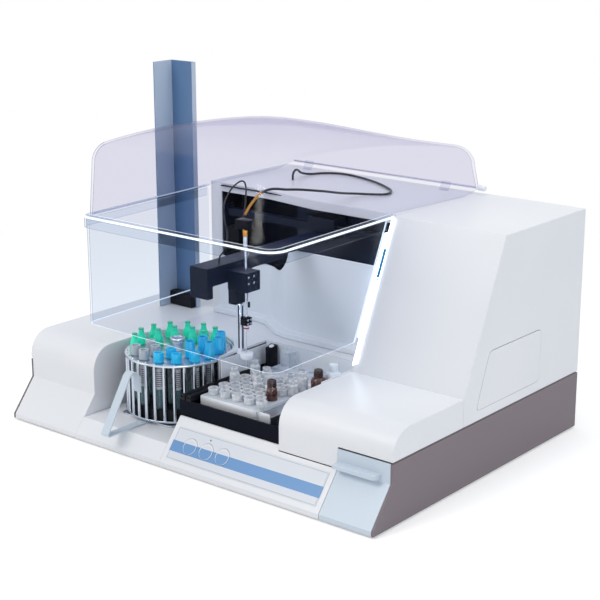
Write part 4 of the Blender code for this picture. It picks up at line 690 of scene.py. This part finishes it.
def stood(name, mesh, spots, body, slot, *finishes, nodes=()):
    """Copies of a mesh at (x, y, z) or (x, y, z, turn) places, joined into one piece."""
    shape = bmesh.new()
    for spot in spots:
        before = len(shape.verts)
        shape.from_mesh(mesh)
        shape.verts.ensure_lookup_table()
        turn = Matrix.Rotation(spot[3] if len(spot) > 3 else 0, 4, "Z")
        for vertex in shape.verts[before:]:
            vertex.co = turn @ vertex.co + Vector(spot[:3])
    return piece_from(shape, name, body, slot, nodes, *finishes, smooth=40)


def lathe(name, profile, spot, body, slot, made, steps=24, nodes=()):
    """One piece turned from (radius, height) points, standing at an (x, y, z) place."""
    return stood(name, turned(profile, steps), [spot], body, slot, made, nodes=nodes)


def around(radius, count, z, shift=0.0):
    """Places spaced evenly on a circle about the rotor's axis, each with its turn."""
    turns = [2 * math.pi * (k + shift) / count for k in range(count)]
    return [(rotor.x + radius * math.cos(a), rotor.y + radius * math.sin(a), z, a) for a in turns]


rod = turned([(0, 0), (0.0029, 0), (0.0029, 0.0895), (0.0019, 0.0902), (0.0018, 0.0914),
              (0.0009, 0.0922), (0, 0.0924)], 16)
stood("cage_rods", rod, around(0.0798, 32, 0.0393, 0.5), "rotor", "chrome", steel)
bpy.ops.mesh.primitive_cylinder_add(vertices=96, radius=0.083, depth=0.003,
                                    location=(rotor.x, rotor.y, plate_top - 0.0015))
plate = bpy.context.object
for spots, radius in ((around(outer_ring, 15, 0), 0.0072), (around(inner_ring, 9, 0, 0.5), 0.0072),
                      ([rotor_spot], 0.0043)):
    for x, y, *_ in spots:
        bpy.ops.mesh.primitive_cylinder_add(vertices=28, radius=radius, depth=0.02, location=(x, y, 0.1285))
        drill = bpy.context.object
        hole = plate.modifiers.new("hole", "BOOLEAN")
        hole.object = drill
        select_only(plate)
        bpy.ops.object.modifier_apply(modifier="hole")
        bpy.data.objects.remove(drill)
select_only(plate)
rounded(plate, 0.0005, 2)
settle("cage_plate", "rotor", aluminium)
lathe("cage_foot_ring", [(0.077, 0.0375), (0.0826, 0.0375), (0.083, 0.0379), (0.083, 0.0401),
                         (0.0826, 0.0405), (0.0774, 0.0405), (0.077, 0.0401), (0.077, 0.0375)],
      rotor_spot, "rotor", "chrome", steel, 96, ["rotor_cage"])
lathe("rotor_core", [(0.0056, 0.0378), (0.0755, 0.0378), (0.076, 0.0383), (0.076, 0.0558),
                     (0.0755, 0.0563), (0.013, 0.0563), (0.012, 0.0573), (0.012, 0.1267), (0, 0.1267)],
      rotor_spot, "rotor", "black_plastic", black_nylon, 72)
lathe("rotor_inner_wall", [(0.0335, 0.0563), (0.034, 0.0563), (0.034, 0.1265), (0.0335, 0.1265),
                           (0.0335, 0.0563)], rotor_spot, "rotor", "black_plastic", black_nylon, 48)

# Blood tubes: clear PET with rounded feet, a teal gel at the bottom and a white paper label with
# plain ruled stripes, under moulded closures.
def see_through(made, low, high):
    """Lets what is behind a material show, most where its skin is seen face on."""
    return dress(made, {"Alpha": spread(made, facing(made, 0.4), low, high)})


pet = see_through(plain("pet_clear_tube", "AFC4CC", 0.06), 0.22, 0.75)
gel = dress(material("serum_gel_teal"), {"Roughness": 0.15})
coloured(gel, noise(gel, 160.0, 2.0), "0F3B45", "2F8E93")
label = dress(material("paper_label_ruled"), {"Roughness": 0.55})
label_height = (axes(label), "Z")
rule = reckon(label, "MODULO", label_height, 0.0031)
rule = reckon(label, "LESS_THAN", rule, 0.0011)
rule = reckon(label, "MULTIPLY", rule, between(label, label_height, 0.092, 0.116))
dress(label, {"Base Color": mixed(label, rule, "D9DDE4", "343A48")})
tube = turned([(0, 0.0533), (0.003, 0.0538), (0.0052, 0.0556), (0.0063, 0.0585), (0.0065, 0.062),
               (0.0065, 0.1303)], 20)
fill = turned([(0, 0.0540), (0.0028, 0.0545), (0.0049, 0.0562), (0.0059, 0.0590), (0.0060, 0.062),
               (0.0060, 0.088), (0, 0.0885)], 16)
outer_spots, inner_spots = around(outer_ring, 15, 0), around(inner_ring, 9, 0, 0.5)
stood("tube_bodies", tube, outer_spots + inner_spots, "rotor", "tube_plastic", pet)
stood("tube_contents", fill, outer_spots + inner_spots, "rotor", "tube_plastic", gel)
wrap = bmesh.new()
arc = [math.radians(-70 + 140 * k / 12) for k in range(13)]
loft(wrap, [[(0.00672 * math.cos(a), 0.00672 * math.sin(a), z) for a in arc] for z in (0.088, 0.122)],
     closed=False)
wrap_mesh = bpy.data.meshes.new("wrap")
wrap.to_mesh(wrap_mesh)
wrap.free()
turns = random.Random(4)
stood("tube_labels", wrap_mesh, [(x, y, z, a + turns.uniform(-0.9, 0.9)) for x, y, z, a in
                                 [outer_spots[k] for k in (0, 3, 6, 8, 9, 11, 12, 13, 14)]],
      "rotor", "tube_plastic", label)

# Closures: green ones drawn up to a neck with a dark membrane ring on top, bright blue ones like
# a hollow thimble, and grey translucent ones, all moulded in polyethylene.
closures = {}
for name, low, high, rough in (("polyethylene_green", "00EEBC", "2CFFD4", 0.32),
                               ("polyethylene_blue", "00B4F0", "18D2FF", 0.3),
                               ("polyethylene_grey", "9FAAB4", "C4CDD6", 0.3)):
    made = dress(material(name), {"Roughness": rough, "Subsurface Weight": 0.15,
                                  "Subsurface Radius": (0.002, 0.002, 0.002)})
    coloured(made, noise(made, 120.0, 1.0), low, high)
    closures[name] = made
membrane = plain("rubber_membrane_red_grey", "7C5A5C", 0.6)
hollow = plain("closure_hollow_painted_shade", "14406B", 0.6)
green = turned([(0.0066, 0.1304), (0.0076, 0.1304), (0.0081, 0.1312), (0.0082, 0.138), (0.0079, 0.1388),
                (0.0080, 0.1395), (0.0074, 0.1420), (0.0056, 0.1452), (0.0047, 0.1475), (0.0043, 0.1500),
                (0.0042, 0.1550), (0.0040, 0.1558), (0.0030, 0.1562), (0, 0.1562)], 20)
tip = turned([(0.0032, 0.15622), (0.0036, 0.15628), (0.0036, 0.1556), (0.0044, 0.1553), (0.0044, 0.1546),
              (0.0041, 0.1545)], 16)
blue = turned([(0.0066, 0.1304), (0.0074, 0.1304), (0.0078, 0.1310), (0.0082, 0.1400), (0.0078, 0.1408),
               (0.0074, 0.1555), (0.0070, 0.1562), (0.0056, 0.1562), (0.0052, 0.1558), (0.0050, 0.1475),
               (0, 0.1475)], 22)
short = turned([(0.0066, 0.1304), (0.0078, 0.1304), (0.0082, 0.1310), (0.0080, 0.1450), (0.0076, 0.1458),
                (0.0052, 0.1458), (0.0048, 0.1453), (0.0046, 0.138), (0, 0.138)], 22)


def kind_of(x, y):
    """Which closure stands at a place: green at the back and left, blue on the right, grey in front."""
    away, aside = y - rotor.y, x - rotor.x
    if away - aside > 0.006:
        return "green"
    if aside > 0.035 or (aside > 0.02 and away > -0.03):
        return "tall_blue" if away > -0.022 else "short_blue"
    return "grey" if aside < 0.0 else "short_blue"


spots = {"green": [], "tall_blue": [], "short_blue": [], "grey": []}
for x, y, z, a in outer_spots + inner_spots:
    spots[kind_of(x, y)].append((x, y, z, a))
# A dark blue disc laid on the floor of each blue and grey closure's hollow is painted shade.
well = turned([(0, 0.1479), (0.0049, 0.1479)], 16)
low_well = turned([(0, 0.1384), (0.0045, 0.1384)], 16)
for name, mesh, kinds, made in (
        ("closures_green", green, ("green",), closures["polyethylene_green"]),
        ("closure_tips", tip, ("green",), membrane),
        ("closures_blue", blue, ("tall_blue",), closures["polyethylene_blue"]),
        ("closures_blue_short", short, ("short_blue",), closures["polyethylene_blue"]),
        ("closures_grey", short, ("grey",), closures["polyethylene_grey"]),
        ("closure_hollows", well, ("tall_blue",), hollow),
        ("closure_hollows_short", low_well, ("short_blue", "grey"), hollow)):
    places = [spot for kind in kinds for spot in spots[kind]]
    stood(name, mesh, places, "rotor", "tube_plastic", made, nodes=["tube_holder"] if mesh is green else ())

# Rotor knob: turned aluminium, waisted under its head, with a dished top.
lathe("knob_turned", [(0.004, 0.1303), (0.0094, 0.1303), (0.0094, 0.1420), (0.0098, 0.1432),
                      (0.0112, 0.1448), (0.0118, 0.1458), (0.0118, 0.1490), (0.0114, 0.1500),
                      (0.0106, 0.1506), (0.0086, 0.1506), (0.0080, 0.1494), (0, 0.1488)],
      rotor_spot, "rotor", "aluminium", aluminium, 48, ["rotor_knob"])
moulding("rotor_tray", "tray", aluminium, 0.0004)

# Reagent bay: a bent box of sheet, near-black below a height and white above it, whose front wall stands
# lower than its sides. Its back and right walls carry a white moulded liner with a shelf round the measuring
# block.
black_sheet = dress(material("bay_sheet_black_below"), {"Roughness": 0.3, "Specular IOR Level": 0.05})
coloured(black_sheet, grained(black_sheet, 1500.0, 2.0, 0.15, 0.0001), "070A16", "0D1222")
bay = moulding("reagent_bay", "base", black_sheet, 0)
bay.data.materials.append(styrene)
walls = bmesh.new()
walls.from_mesh(bay.data)
white_above, wall_top, wall_cut = 0.1012, 0.1, 0.0945
bmesh.ops.bisect_plane(walls, geom=walls.verts[:] + walls.edges[:] + walls.faces[:],
                       plane_co=(0, 0, white_above), plane_no=(0, 0, 1))
for face in walls.faces:
    if face.calc_center_median().z > white_above:
        face.material_index = 1
for vertex in walls.verts:
    if abs(vertex.co.z - wall_top) < 0.0004:
        vertex.co.z = wall_cut
walls.to_mesh(bay.data)
walls.free()


def slab(name, low, high, body, made, edge=0, segments=2):
    """A box between two (x, depth, z) corners, with its edges rounded where a width is given."""
    low, high = Vector(low), Vector(high)
    bpy.ops.mesh.primitive_cube_add(size=1, location=(low + high) / 2 + Vector((0, front_y, 0)))
    box = bpy.context.object
    box.scale = high - low
    bpy.ops.object.transform_apply(location=False, rotation=False, scale=True)
    if edge:
        rounded(box, edge, segments)
    return settle(name, body, made)


for name, low, high in (("bay_liner_back", (-0.0335, 0.2455, 0.062), (0.1595, 0.2468, 0.1375)),
                        ("bay_liner_right", (0.1582, 0.143, 0.062), (0.1595, 0.2455, 0.1375)),
                        ("bay_shelf", (0.0035, 0.1985, 0.0985), (0.1582, 0.2455, 0.1015))):
    slab(name, low, high, "base", styrene, 0.0004)

# Cuvette rails: two ribbed bars of black nylon that run out over the bay's low front wall.
rails = bmesh.new()
for left in (-0.0334, -0.0219):
    profile = [(0.0, 0.0945), (0.0092, 0.0945), (0.0092, 0.1010), (0.0078, 0.1012), (0.0078, 0.0985),
               (0.0014, 0.0985), (0.0014, 0.1012), (0.0, 0.1010)]
    prism(rails, *[[(left + x, front_y + depth, z) for x, z in profile] for depth in (0.0485, 0.2265)])
    for k in range(46):
        middle = Vector((left + 0.0046, front_y + 0.0505 + 0.0038 * k, 0.1010))
        lump = bmesh.ops.create_cube(rails, size=1)["verts"]
        for vertex in lump:
            vertex.co = middle + Vector((vertex.co.x * 0.0086, vertex.co.y * 0.0017, vertex.co.z * 0.0034))
piece_from(rails, "ribbed_rails", "base", "black_plastic", ["reagent_rails"], black_nylon)

# Cooling block and rack: a satin aluminium block under a clear polycarbonate plate, with a bright
# folded lip along the plate's front edge and a small clear latch at the lip's end.
moulding("cooling_block", "base", aluminium, 0.0006)
bright_lip = plain("aluminium_brushed_bright", "EEF1F8", 0.3, {"Metallic": 0.1})
plate_clear = plain("polycarbonate_plate_clear", "EAF1F8", 0.08, {"Alpha": 0.72, "Specular IOR Level": 0.9})
rack_left, rack_right, rack_front, lip_front = -0.007, 0.1045, 0.0655, 0.0640
for name, low, high, made, slot in (
        ("rack_lip", (rack_left, lip_front, 0.0885),
         (rack_right, rack_front, 0.1020), bright_lip, "aluminium"),
        ("rack_bracket", (rack_right + 0.0005, lip_front + 0.0012, 0.0870),
         (0.1268, lip_front + 0.0026, 0.1020), bright_lip, "aluminium"),
        ("rack_latch", (rack_right - 0.0065, lip_front - 0.0022, 0.0935),
         (rack_right - 0.0005, lip_front - 0.0001, 0.1026), plate_clear, "clear_plastic")):
    slab(name, low, high, "base", made, 0.0003)
rack_plate = slab("rack_plate", (rack_left, rack_front, 0.0975), (rack_right, 0.198, 0.1025), "base",
                  plate_clear, 0.0005)
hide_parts("vial_rack")

# Small sample vials of clear polystyrene: low cups in the front rows and taller necked jars behind.
crystal = dress(material("polystyrene_crystal"), {"Roughness": 0.08, "Specular IOR Level": 0.9})
# Painted glints: a noise mottles the clear colour from pale blue to white.
coloured(crystal, noise(crystal, 170.0, 1.0), "DCE3EE", "FFFFFF", 0.42, 0.58)
see_through(crystal, 0.5, 1.0)
cup = turned([(0, 0.1029), (0.0074, 0.1029), (0.0080, 0.1036), (0.0081, 0.1105), (0.0085, 0.1110),
              (0.0085, 0.1128), (0.0079, 0.1132), (0.0072, 0.1128), (0.0070, 0.1060), (0.0040, 0.1046),
              (0, 0.1042)], 20)
jar = turned([(0, 0.1029), (0.0076, 0.1029), (0.0082, 0.1036), (0.0082, 0.1165), (0.0076, 0.1186),
              (0.0058, 0.1198), (0.0056, 0.1220), (0.0064, 0.1226), (0.0064, 0.1246), (0.0058, 0.1250),
              (0.0049, 0.1246), (0.0048, 0.1195), (0.0070, 0.1170), (0.0070, 0.1050), (0, 0.1042)], 20)
tall_jar = turned([(0, 0.1029), (0.0074, 0.1029), (0.0078, 0.1036), (0.0078, 0.1215), (0.0070, 0.1240),
                   (0.0052, 0.1252), (0.0050, 0.1295), (0.0057, 0.1300), (0.0057, 0.1318), (0.0050, 0.1323),
                   (0.0043, 0.1318), (0.0042, 0.1252), (0.0066, 0.1225), (0.0066, 0.1050), (0, 0.1042)], 20)
vial_x, vial_y, vial_pitch, amber_room = 0.0055, front_y + 0.0795, 0.0235, 0.0173
amber_front = Vector((0.0889, front_y + 0.1147))


def in_rack(i, j):
    """Where a vial stands in the rack's grid."""
    return vial_x + vial_pitch * i, vial_y + vial_pitch * j


def clears_amber(i, j):
    """Whether a vial would stand clear of the front amber bottle."""
    return (Vector(in_rack(i, j)) - amber_front).length > amber_room


cup_spots, jar_spots, tall_spots = [], [], []
for i in range(5):
    for j in range(5):
        if clears_amber(i, j):
            chosen = cup_spots if j < 2 or (i + j) % 3 == 0 else jar_spots if (i + 2 * j) % 4 else tall_spots
            chosen.append((*in_rack(i, j), 0, 0.3 * i + 0.7 * j))
between_rows = [(*in_rack(i + 0.5, j + 0.5), 0) for i in range(4) for j in range(4)
                if clears_amber(i + 0.5, j + 0.5)]
for name, mesh, spots in (("vial_cups", cup, cup_spots), ("vial_jars", jar, jar_spots),
                          ("vial_tall_jars", tall_jar, tall_spots), ("vial_cups_between", cup, between_rows)):
    stood(name, mesh, spots, "base", "clear_plastic", crystal)

# Amber bottles: dark red-brown glass under ribbed caps. Their colour is painted lighter where the skin turns
# from the eye, a painted bright line where light pools.
amber = dress(material("amber_glass_dark"), {"Roughness": 0.06, "Specular IOR Level": 0.9})
# Painted highlight: the glass colour lightens towards its edges as seen.
coloured(amber, facing(amber, 0.35), "3B0F0B", "7E2A18")
cap_brown = plain("phenolic_cap_brown", "2A0D0C", 0.3)
for name, node, (x, y), low, high, wide in (
        ("amber_front", "amber_vial_front", amber_front, 0.1028, 0.1336, 0.0085),
        ("amber_rear", "amber_vial_rear", (0.1185, front_y + 0.187), 0.0975, 0.137, 0.0114)):
    neck = high - 0.0105
    lathe(name + "_glass", [(0, low), (wide - 0.0006, low), (wide, low + 0.0008), (wide, neck - 0.0080),
                            (wide - 0.0008, neck - 0.0050), ((wide + 0.0066) / 2, neck - 0.0024),
                            (0.0066, neck - 0.0012), (0.0064, neck), (0, neck)],
          (x, y, 0), "base", "amber_glass", amber, 36, [node])
    lathe(name + "_cap", [(0.0066, neck), (0.0071, neck + 0.0004), (0.0068, neck + 0.0030),
                          (0.0071, neck + 0.0034), (0.0068, neck + 0.0060), (0.0071, neck + 0.0064),
                          (0.0068, neck + 0.0086), (0.0064, high - 0.0008), (0.0058, high),
                          (0, high - 0.0004)],
          (x, y, 0), "base", "amber_glass", cap_brown, 36)

# Buffer bottle: blown polyethylene, milky, with a plain screw cap.
milky = plain("polyethylene_milky", "E9F1FB", 0.36,
              {"Subsurface Weight": 0.3, "Subsurface Radius": (0.006, 0.006, 0.007)})
lathe("bottle_milky", [(0, 0.0608), (0.0118, 0.0608), (0.0125, 0.0616), (0.0125, 0.1200),
                       (0.0119, 0.1240), (0.0102, 0.1275), (0.0078, 0.1298), (0.0062, 0.1308),
                       (0.0062, 0.1318), (0.0067, 0.1322), (0.0067, 0.1408), (0.0060, 0.1418), (0, 0.1418)],
      (0.129, front_y + 0.210, 0), "base", "milky_plastic", milky, 40, ["buffer_bottle"])

# Stirrer: a black acetal block whose top leans forward, with a round white disc let into it.
acetal = plain("acetal_black", "090C18", 0.3, {"Specular IOR Level": 0.08})
stirrer_x, stirrer_y, stirrer_half = -0.0150, front_y + 0.2365, 0.0068
stirrer_foot, stirrer_top, stirrer_lean = 0.0608, 0.1345, 0.32
block = bmesh.new()
corners = [(stirrer_x + stirrer_half * a, stirrer_y + stirrer_half * b)
           for a, b in ((-1, -1), (1, -1), (1, 1), (-1, 1))]
prism(block, [(x, y, stirrer_foot) for x, y in corners],
      [(x, y, stirrer_top + stirrer_lean * (y - stirrer_y)) for x, y in corners])
bmesh.ops.bevel(block, geom=block.edges[:], offset=0.0006, segments=2, affect="EDGES", profile=0.5)
piece_from(block, "stirrer_body", "base", "black_plastic", ["stirrer_block"], acetal)
white_disc = plain("ptfe_disc_white", "F2F5FA", 0.3)
disc = turned([(0, -0.002), (0.0042, -0.002), (0.0042, 0.0004), (0.0038, 0.0008), (0, 0.0008)], 40)
disc.transform(Matrix.Rotation(math.atan(stirrer_lean), 4, "X"))
stood("stirrer_disc", disc, [(stirrer_x, stirrer_y, stirrer_top)], "base", "white_plastic", white_disc)

# Measuring block: cast acrylic, clear, with four round wells.
cast_clear = plain("acrylic_cast_clear", "E3EBF6", 0.05, {"Specular IOR Level": 0.9})
see_through(cast_clear, 0.22, 0.75)
wells = moulding("measuring_block", "base", cast_clear, 0.0008)
for vertex in wells.data.vertices:
    if vertex.co.z > 0.115:
        vertex.co.z -= 0.009
slab("optics_window", (0.0110, 0.22625, 0.11325), (0.0300, 0.24275, 0.13375), "base",
     cast_clear, 0.001, 3)

# Needle arm: a folded cover and a milled head with a hard black anodise. Its colour is painted a lighter
# navy where the skin turns from the eye, a painted sheen where it catches the light. Four steel cap screws
# hold the head's face.
anodised = dress(material("aluminium_hard_anodised_navy"), {"Roughness": 0.34, "Specular IOR Level": 0.1})
# Painted sheen: the colour lightens towards grazing edges.
coloured(anodised, facing(anodised, 0.3), "081428", "26304C")
moulding("arm_cover", "arm", anodised, 0.0012)
moulding("x_carriage", "arm", anodised, 0.0008)
moulding("needle_head", "head", anodised, 0.0007)
screw_head = turned([(0, 0.0001), (0.0008, 0.0001), (0.0009, 0.0009), (0.0015, 0.0010), (0.0017, 0.0008),
                     (0.0017, 0), (0, 0)], 20)
screw_head.transform(Matrix.Rotation(math.radians(90), 4, "Y"))
stood("head_screws", screw_head, [(0.0560, front_y + depth, z) for depth in (0.1030, 0.1145)
                                  for z in (0.2850, 0.2755)], "head", "steel", steel)

# Guide bar: a polished steel channel whose slot is drawn as two thin dark slabs of painted shadow, over a
# white fluoropolymer foot cup that steadies the needle.
needle_x, needle_y = 0.041, front_y + 0.114
guide = bmesh.new()
section = [(0.024, -0.003), (0.034, -0.003), (0.034, 0.003), (0.024, 0.003)]
prism(guide, *[[(x, needle_y + y, z) for x, y in section] for z in (0.1600, 0.2398)])
bmesh.ops.bevel(guide, geom=guide.edges[:], offset=0.0008, segments=3, affect="EDGES", profile=0.5)
piece_from(guide, "guide_bar", "head", "steel", ["needle_guide"], steel)
# Painted shadow: the slot is two thin dark slabs, not an opening.
shadow_slot = plain("slot_painted_shadow", "1A2134", 0.35, {"Metallic": 0.4})
slab("guide_slot", (0.0277, 0.11065, 0.171), (0.0303, 0.11105, 0.237), "head", shadow_slot)
slab("guide_slot_side", (0.03395, 0.1129, 0.171), (0.03435, 0.1151, 0.237), "head", shadow_slot)
ptfe = plain("ptfe_white", "F6F9FF", 0.35,
             {"Subsurface Weight": 0.2, "Subsurface Radius": (0.004, 0.004, 0.004)})
lathe("foot_cup", [(0.0012, 0.1557), (0.0062, 0.1557), (0.0080, 0.1568), (0.0094, 0.1590), (0.0100, 0.1615),
                   (0.0101, 0.1648), (0.0098, 0.1658), (0.0088, 0.1664), (0.0012, 0.1664), (0.0012, 0.1557)],
      (needle_x, needle_y, 0), "head", "white_plastic", ptfe, 48)
wash_spot = (0.0515, front_y + 0.1085, 0)
lathe("wash_tube", [(0.0009, 0.2400), (0.0013, 0.2400), (0.0013, 0.2622), (0.0009, 0.2622), (0.0009, 0.2400)],
      wash_spot, "head", "white_plastic", ptfe, 16)
lathe("wash_tube_end", [(0, 0.2385), (0.0014, 0.2385), (0.0018, 0.2390), (0.0018, 0.2468), (0.0013, 0.2472)],
      wash_spot, "head", "black_plastic", acetal, 16)

# Needle unit: a fine steel needle under a nozzle with a red seal ring, a black block with small
# screws, a ground steel mast, a gold plated connector and the black clamp that holds the lines.
red_ring = plain("silicone_seal_red", "B3202A", 0.4)
gold = plain("gold_plated_brass", "E0A04A", 0.22, {"Metallic": 1.0})
slab("nozzle_block", (0.0347, 0.1077, 0.2087), (0.0473, 0.1203, 0.2203), "needle_unit",
     acetal, 0.0007, 3)
stood("nozzle_block_screws", screw_head, [(0.0473, front_y + depth, z) for depth in (0.1105, 0.1170)
                                          for z in (0.2115, 0.2175)], "needle_unit", "steel", steel)
for name, slot, made, steps, profile in (
        ("needle_tube", "steel", steel, 16, [(0, 0.1387), (0.0004, 0.1386), (0.0008, 0.1396),
                                             (0.0008, 0.1990), (0, 0.1990)]),
        ("nozzle_barrel", "white_plastic", ptfe, 32, [(0.0009, 0.1976), (0.0024, 0.1976), (0.0030, 0.1984),
                                                      (0.0034, 0.2030), (0.0041, 0.2036), (0.0041, 0.2086),
                                                      (0.0009, 0.2086)]),
        ("nozzle_seal", "rubber", red_ring, 32, [(0.0034, 0.2028), (0.0041, 0.2030), (0.0044, 0.2036),
                                                 (0.0044, 0.2046), (0.0041, 0.2052), (0.0034, 0.2052)]),
        ("mast_rod", "steel", steel, 24, [(0, 0.2200), (0.0020, 0.2200), (0.0020, 0.3532), (0, 0.3532)]),
        ("coax_connector", "steel", gold, 24, [(0.0021, 0.3420), (0.0030, 0.3422), (0.0034, 0.3428),
                                               (0.0034, 0.3505), (0.0030, 0.3512), (0.0028, 0.3532),
                                               (0.0021, 0.3532)]),
        ("coax_collar", "steel", aluminium, 24, [(0.0021, 0.3240), (0.0027, 0.3243), (0.0029, 0.3250),
                                                 (0.0029, 0.3405), (0.0026, 0.3418), (0.0021, 0.3418)])):
    lathe(name, profile, (needle_x, needle_y, 0), "needle_unit", slot, made, steps,
          ["needle"] if name == "needle_tube" else ())
clamp = bmesh.new()
section = [(0.0275, -0.0080), (0.0525, -0.0080), (0.0525, 0.0080), (0.0275, 0.0080)]
prism(clamp, *[[(x, needle_y + y, z) for x, y in section] for z in (0.3534, 0.3668)])
bmesh.ops.bevel(clamp, geom=clamp.edges[:], offset=0.0009, segments=3, affect="EDGES", profile=0.5)
piece_from(clamp, "line_clamp", "needle_unit", "black_plastic", [], acetal)

# Rear interior: the rail and motor behind the mouth are dark, and the walls that close the space round them
# are black sheets of painted shade, with a smoked screen at the right and a small warm work lamp on it.
# Painted shade: black sheets that close the space behind the mouth.
cavity_painted_shade = plain("cavity_black_painted_shade", "0A1020", 0.7, {"Specular IOR Level": 0.05})
moulding("x_rail", "base", anodised, 0.0004)
moulding("x_motor", "base", acetal, 0.0008)
smoked = plain("acrylic_smoked_blue", "2A3450", 0.22, {"Specular IOR Level": 0.2})
for name, low, high, made in (
        ("cavity_back", (-0.2060, 0.3880, 0.1400), (0.1595, 0.3890, 0.3500), cavity_painted_shade),
        ("cavity_roof", (-0.2060, 0.3330, 0.3505), (0.1595, 0.3880, 0.3515), cavity_painted_shade),
        ("cavity_left", (-0.2070, 0.3420, 0.1400), (-0.2062, 0.3880, 0.3500), cavity_painted_shade),
        ("cavity_right", (0.1585, 0.3230, 0.1400), (0.1595, 0.3880, 0.3500), smoked),
        ("smoked_screen", (-0.0780, 0.3780, 0.2300), (0.1580, 0.3795, 0.3480), smoked)):
    slab(name, low, high, "base", made)
work_lamp = plain("led_lens_warm", "E9B089", 0.3,
                  {"Emission Color": tone("FFB98A"), "Emission Strength": 1.6})
bpy.ops.mesh.primitive_uv_sphere_add(segments=20, ring_count=12, radius=0.0028,
                                     location=(-0.0147, front_y + 0.3776, 0.3079))
bpy.context.object.scale = (1.1, 0.5, 0.8)
settle("work_lamp", "base", work_lamp)

# Magazine: a bent channel with a pale blue satin coat, open to the left, with a black foot block.
# Its faces turned to the sides are painted pale and those turned front or back a darker blue, as painted
# light and shade.
channel_painted_light_shade = material("satin_coat_channel_painted_light_shade")
# Painted light and shade: the colour follows which way each face turns.
aside = reckon(channel_painted_light_shade, "ABSOLUTE", (axes(channel_painted_light_shade, "Normal"), "X"), 0.0)
aside = spread(channel_painted_light_shade, aside, 0.0, 1.0, 0.4, 0.8)
dress(channel_painted_light_shade, {"Base Color": mixed(channel_painted_light_shade, aside, "5A7CA4", "C4D2E2"), "Roughness": 0.32})
moulding("magazine_channel", "base", channel_painted_light_shade, 0.0005)
moulding("magazine_foot", "base", acetal, 0.0010)

# Hinge: a slim zinc-plated pin along the rear of the lid, two small lugs, and a white moulded cap that
# closes its right end on top of the housing.
hinge_y, hinge_z = front_y + 0.523, 0.366
satin_zinc = plain("steel_satin_zinc", "C6C5D3", 0.4, {"Metallic": 0.3})
for name, low, high, radius, made, slot in (
        ("hinge_rod", -0.2045, 0.1700, 0.0013, satin_zinc, "steel"),
        ("hinge_cap", 0.1745, 0.1885, 0.0046, styrene, "white_plastic")):
    bpy.ops.mesh.primitive_cylinder_add(vertices=32, radius=radius, depth=high - low,
                                        location=((low + high) / 2, hinge_y, hinge_z),
                                        rotation=(0, math.radians(90), 0))
    rounded(bpy.context.object, radius * 0.45, 4)
    barrel = settle(name, "base", made)
    if name == "hinge_rod":
        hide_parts("hinge_pin")
for name, low in (("hinge_lug_left", -0.178), ("hinge_lug_right", 0.106)):
    lug = bmesh.new()
    outline = [(hinge_y - 0.0095, 0.3553), (hinge_y - 0.0058, 0.3553)]
    outline += [(hinge_y + 0.0032 * math.cos(a), hinge_z + 0.0032 * math.sin(a))
                for a in (math.radians(21 * k - 30) for k in range(11))]
    prism(lug, *[[(x, y, z) for y, z in outline] for x in (low, low + 0.016)])
    piece_from(lug, name, "base", "white_plastic", [], acrylic)

# Screws of the side panel: small countersunk stainless screws, each on a thin dark disc of painted shade in
# its recess.
# Painted shade: the dark discs under the screws.
recess_painted_shade = plain("screw_recess_painted_shade", "3A3A46", 0.5)
side_screw = turned([(0, 0.0003), (0.0009, 0.0003), (0.0011, 0.0008), (0.0019, 0.0008), (0.0022, 0.0004),
                     (0.0022, 0), (0, 0)], 20)
side_ring = turned([(0, 0.00006), (0.0031, 0.00006), (0.0031, 0), (0, 0)], 24)
for name, mesh, x, slot, made in (("side_screws", side_screw, 0.3591, "steel", steel),
                                  ("side_screw_recesses", side_ring, 0.3592, "black_plastic", recess_painted_shade)):
    mesh.transform(Matrix.Rotation(math.radians(90), 4, "Y"))
    stood(name, mesh, [(x, front_y + depth, z) for depth, z in ((0.079, 0.1), (0.197, 0.101), (0.232, 0.101),
                                                                (0.461, 0.1015))], "base", slot, made)

# What lies under and behind: zinc plated chassis and runners, the waste bin, the rear fittings,
# rubber feet, and the modules inside.
zinc = plain("steel_zinc_plated", "B4B9BD", 0.4, {"Metallic": 1.0})
place = add(zinc, "TexCoord", {})
spangle = add(zinc, "TexVoronoi", {"Vector": (place, "Object"), "Scale": 120.0})
dress(zinc, {"Roughness": spread(zinc, (spangle, "Distance"), 0.32, 0.5)})
bin_clear = plain("polypropylene_translucent", "D3DAE2", 0.4, {"Alpha": 0.6})
inlet_black = plain("pbt_black", "15161A", 0.45)
rubber = plain("rubber_black", "18181B", 0.8)
mask = plain("solder_mask_green", "1E6B3A", 0.35)
for node, body, made, slot, edge in (
        ("base_pan", "base", zinc, "steel", 0.0003), ("drawer_box", "drawer", zinc, "steel", 0.0003),
        ("waste_bin", "drawer", bin_clear, "clear_plastic", 0.0004),
        ("power_inlet", "base", inlet_black, "black_plastic", 0.0004),
        ("power_rocker", "rocker", inlet_black, "black_plastic", 0.0003),
        ("fan_frame", "base", inlet_black, "black_plastic", 0.0003),
        ("fan_impeller", "fan", inlet_black, "black_plastic", 0.0002),
        ("power_supply", "base", zinc, "aluminium", 0.0005), ("main_board", "base", mask, "board", 0),
        ("diluter_pump", "base", zinc, "aluminium", 0.0005)):
    moulding(node, body, made, edge)
for corner in ("front_left", "front_right", "rear_left", "rear_right"):
    moulding("foot_" + corner, "base", rubber, 0.0004)
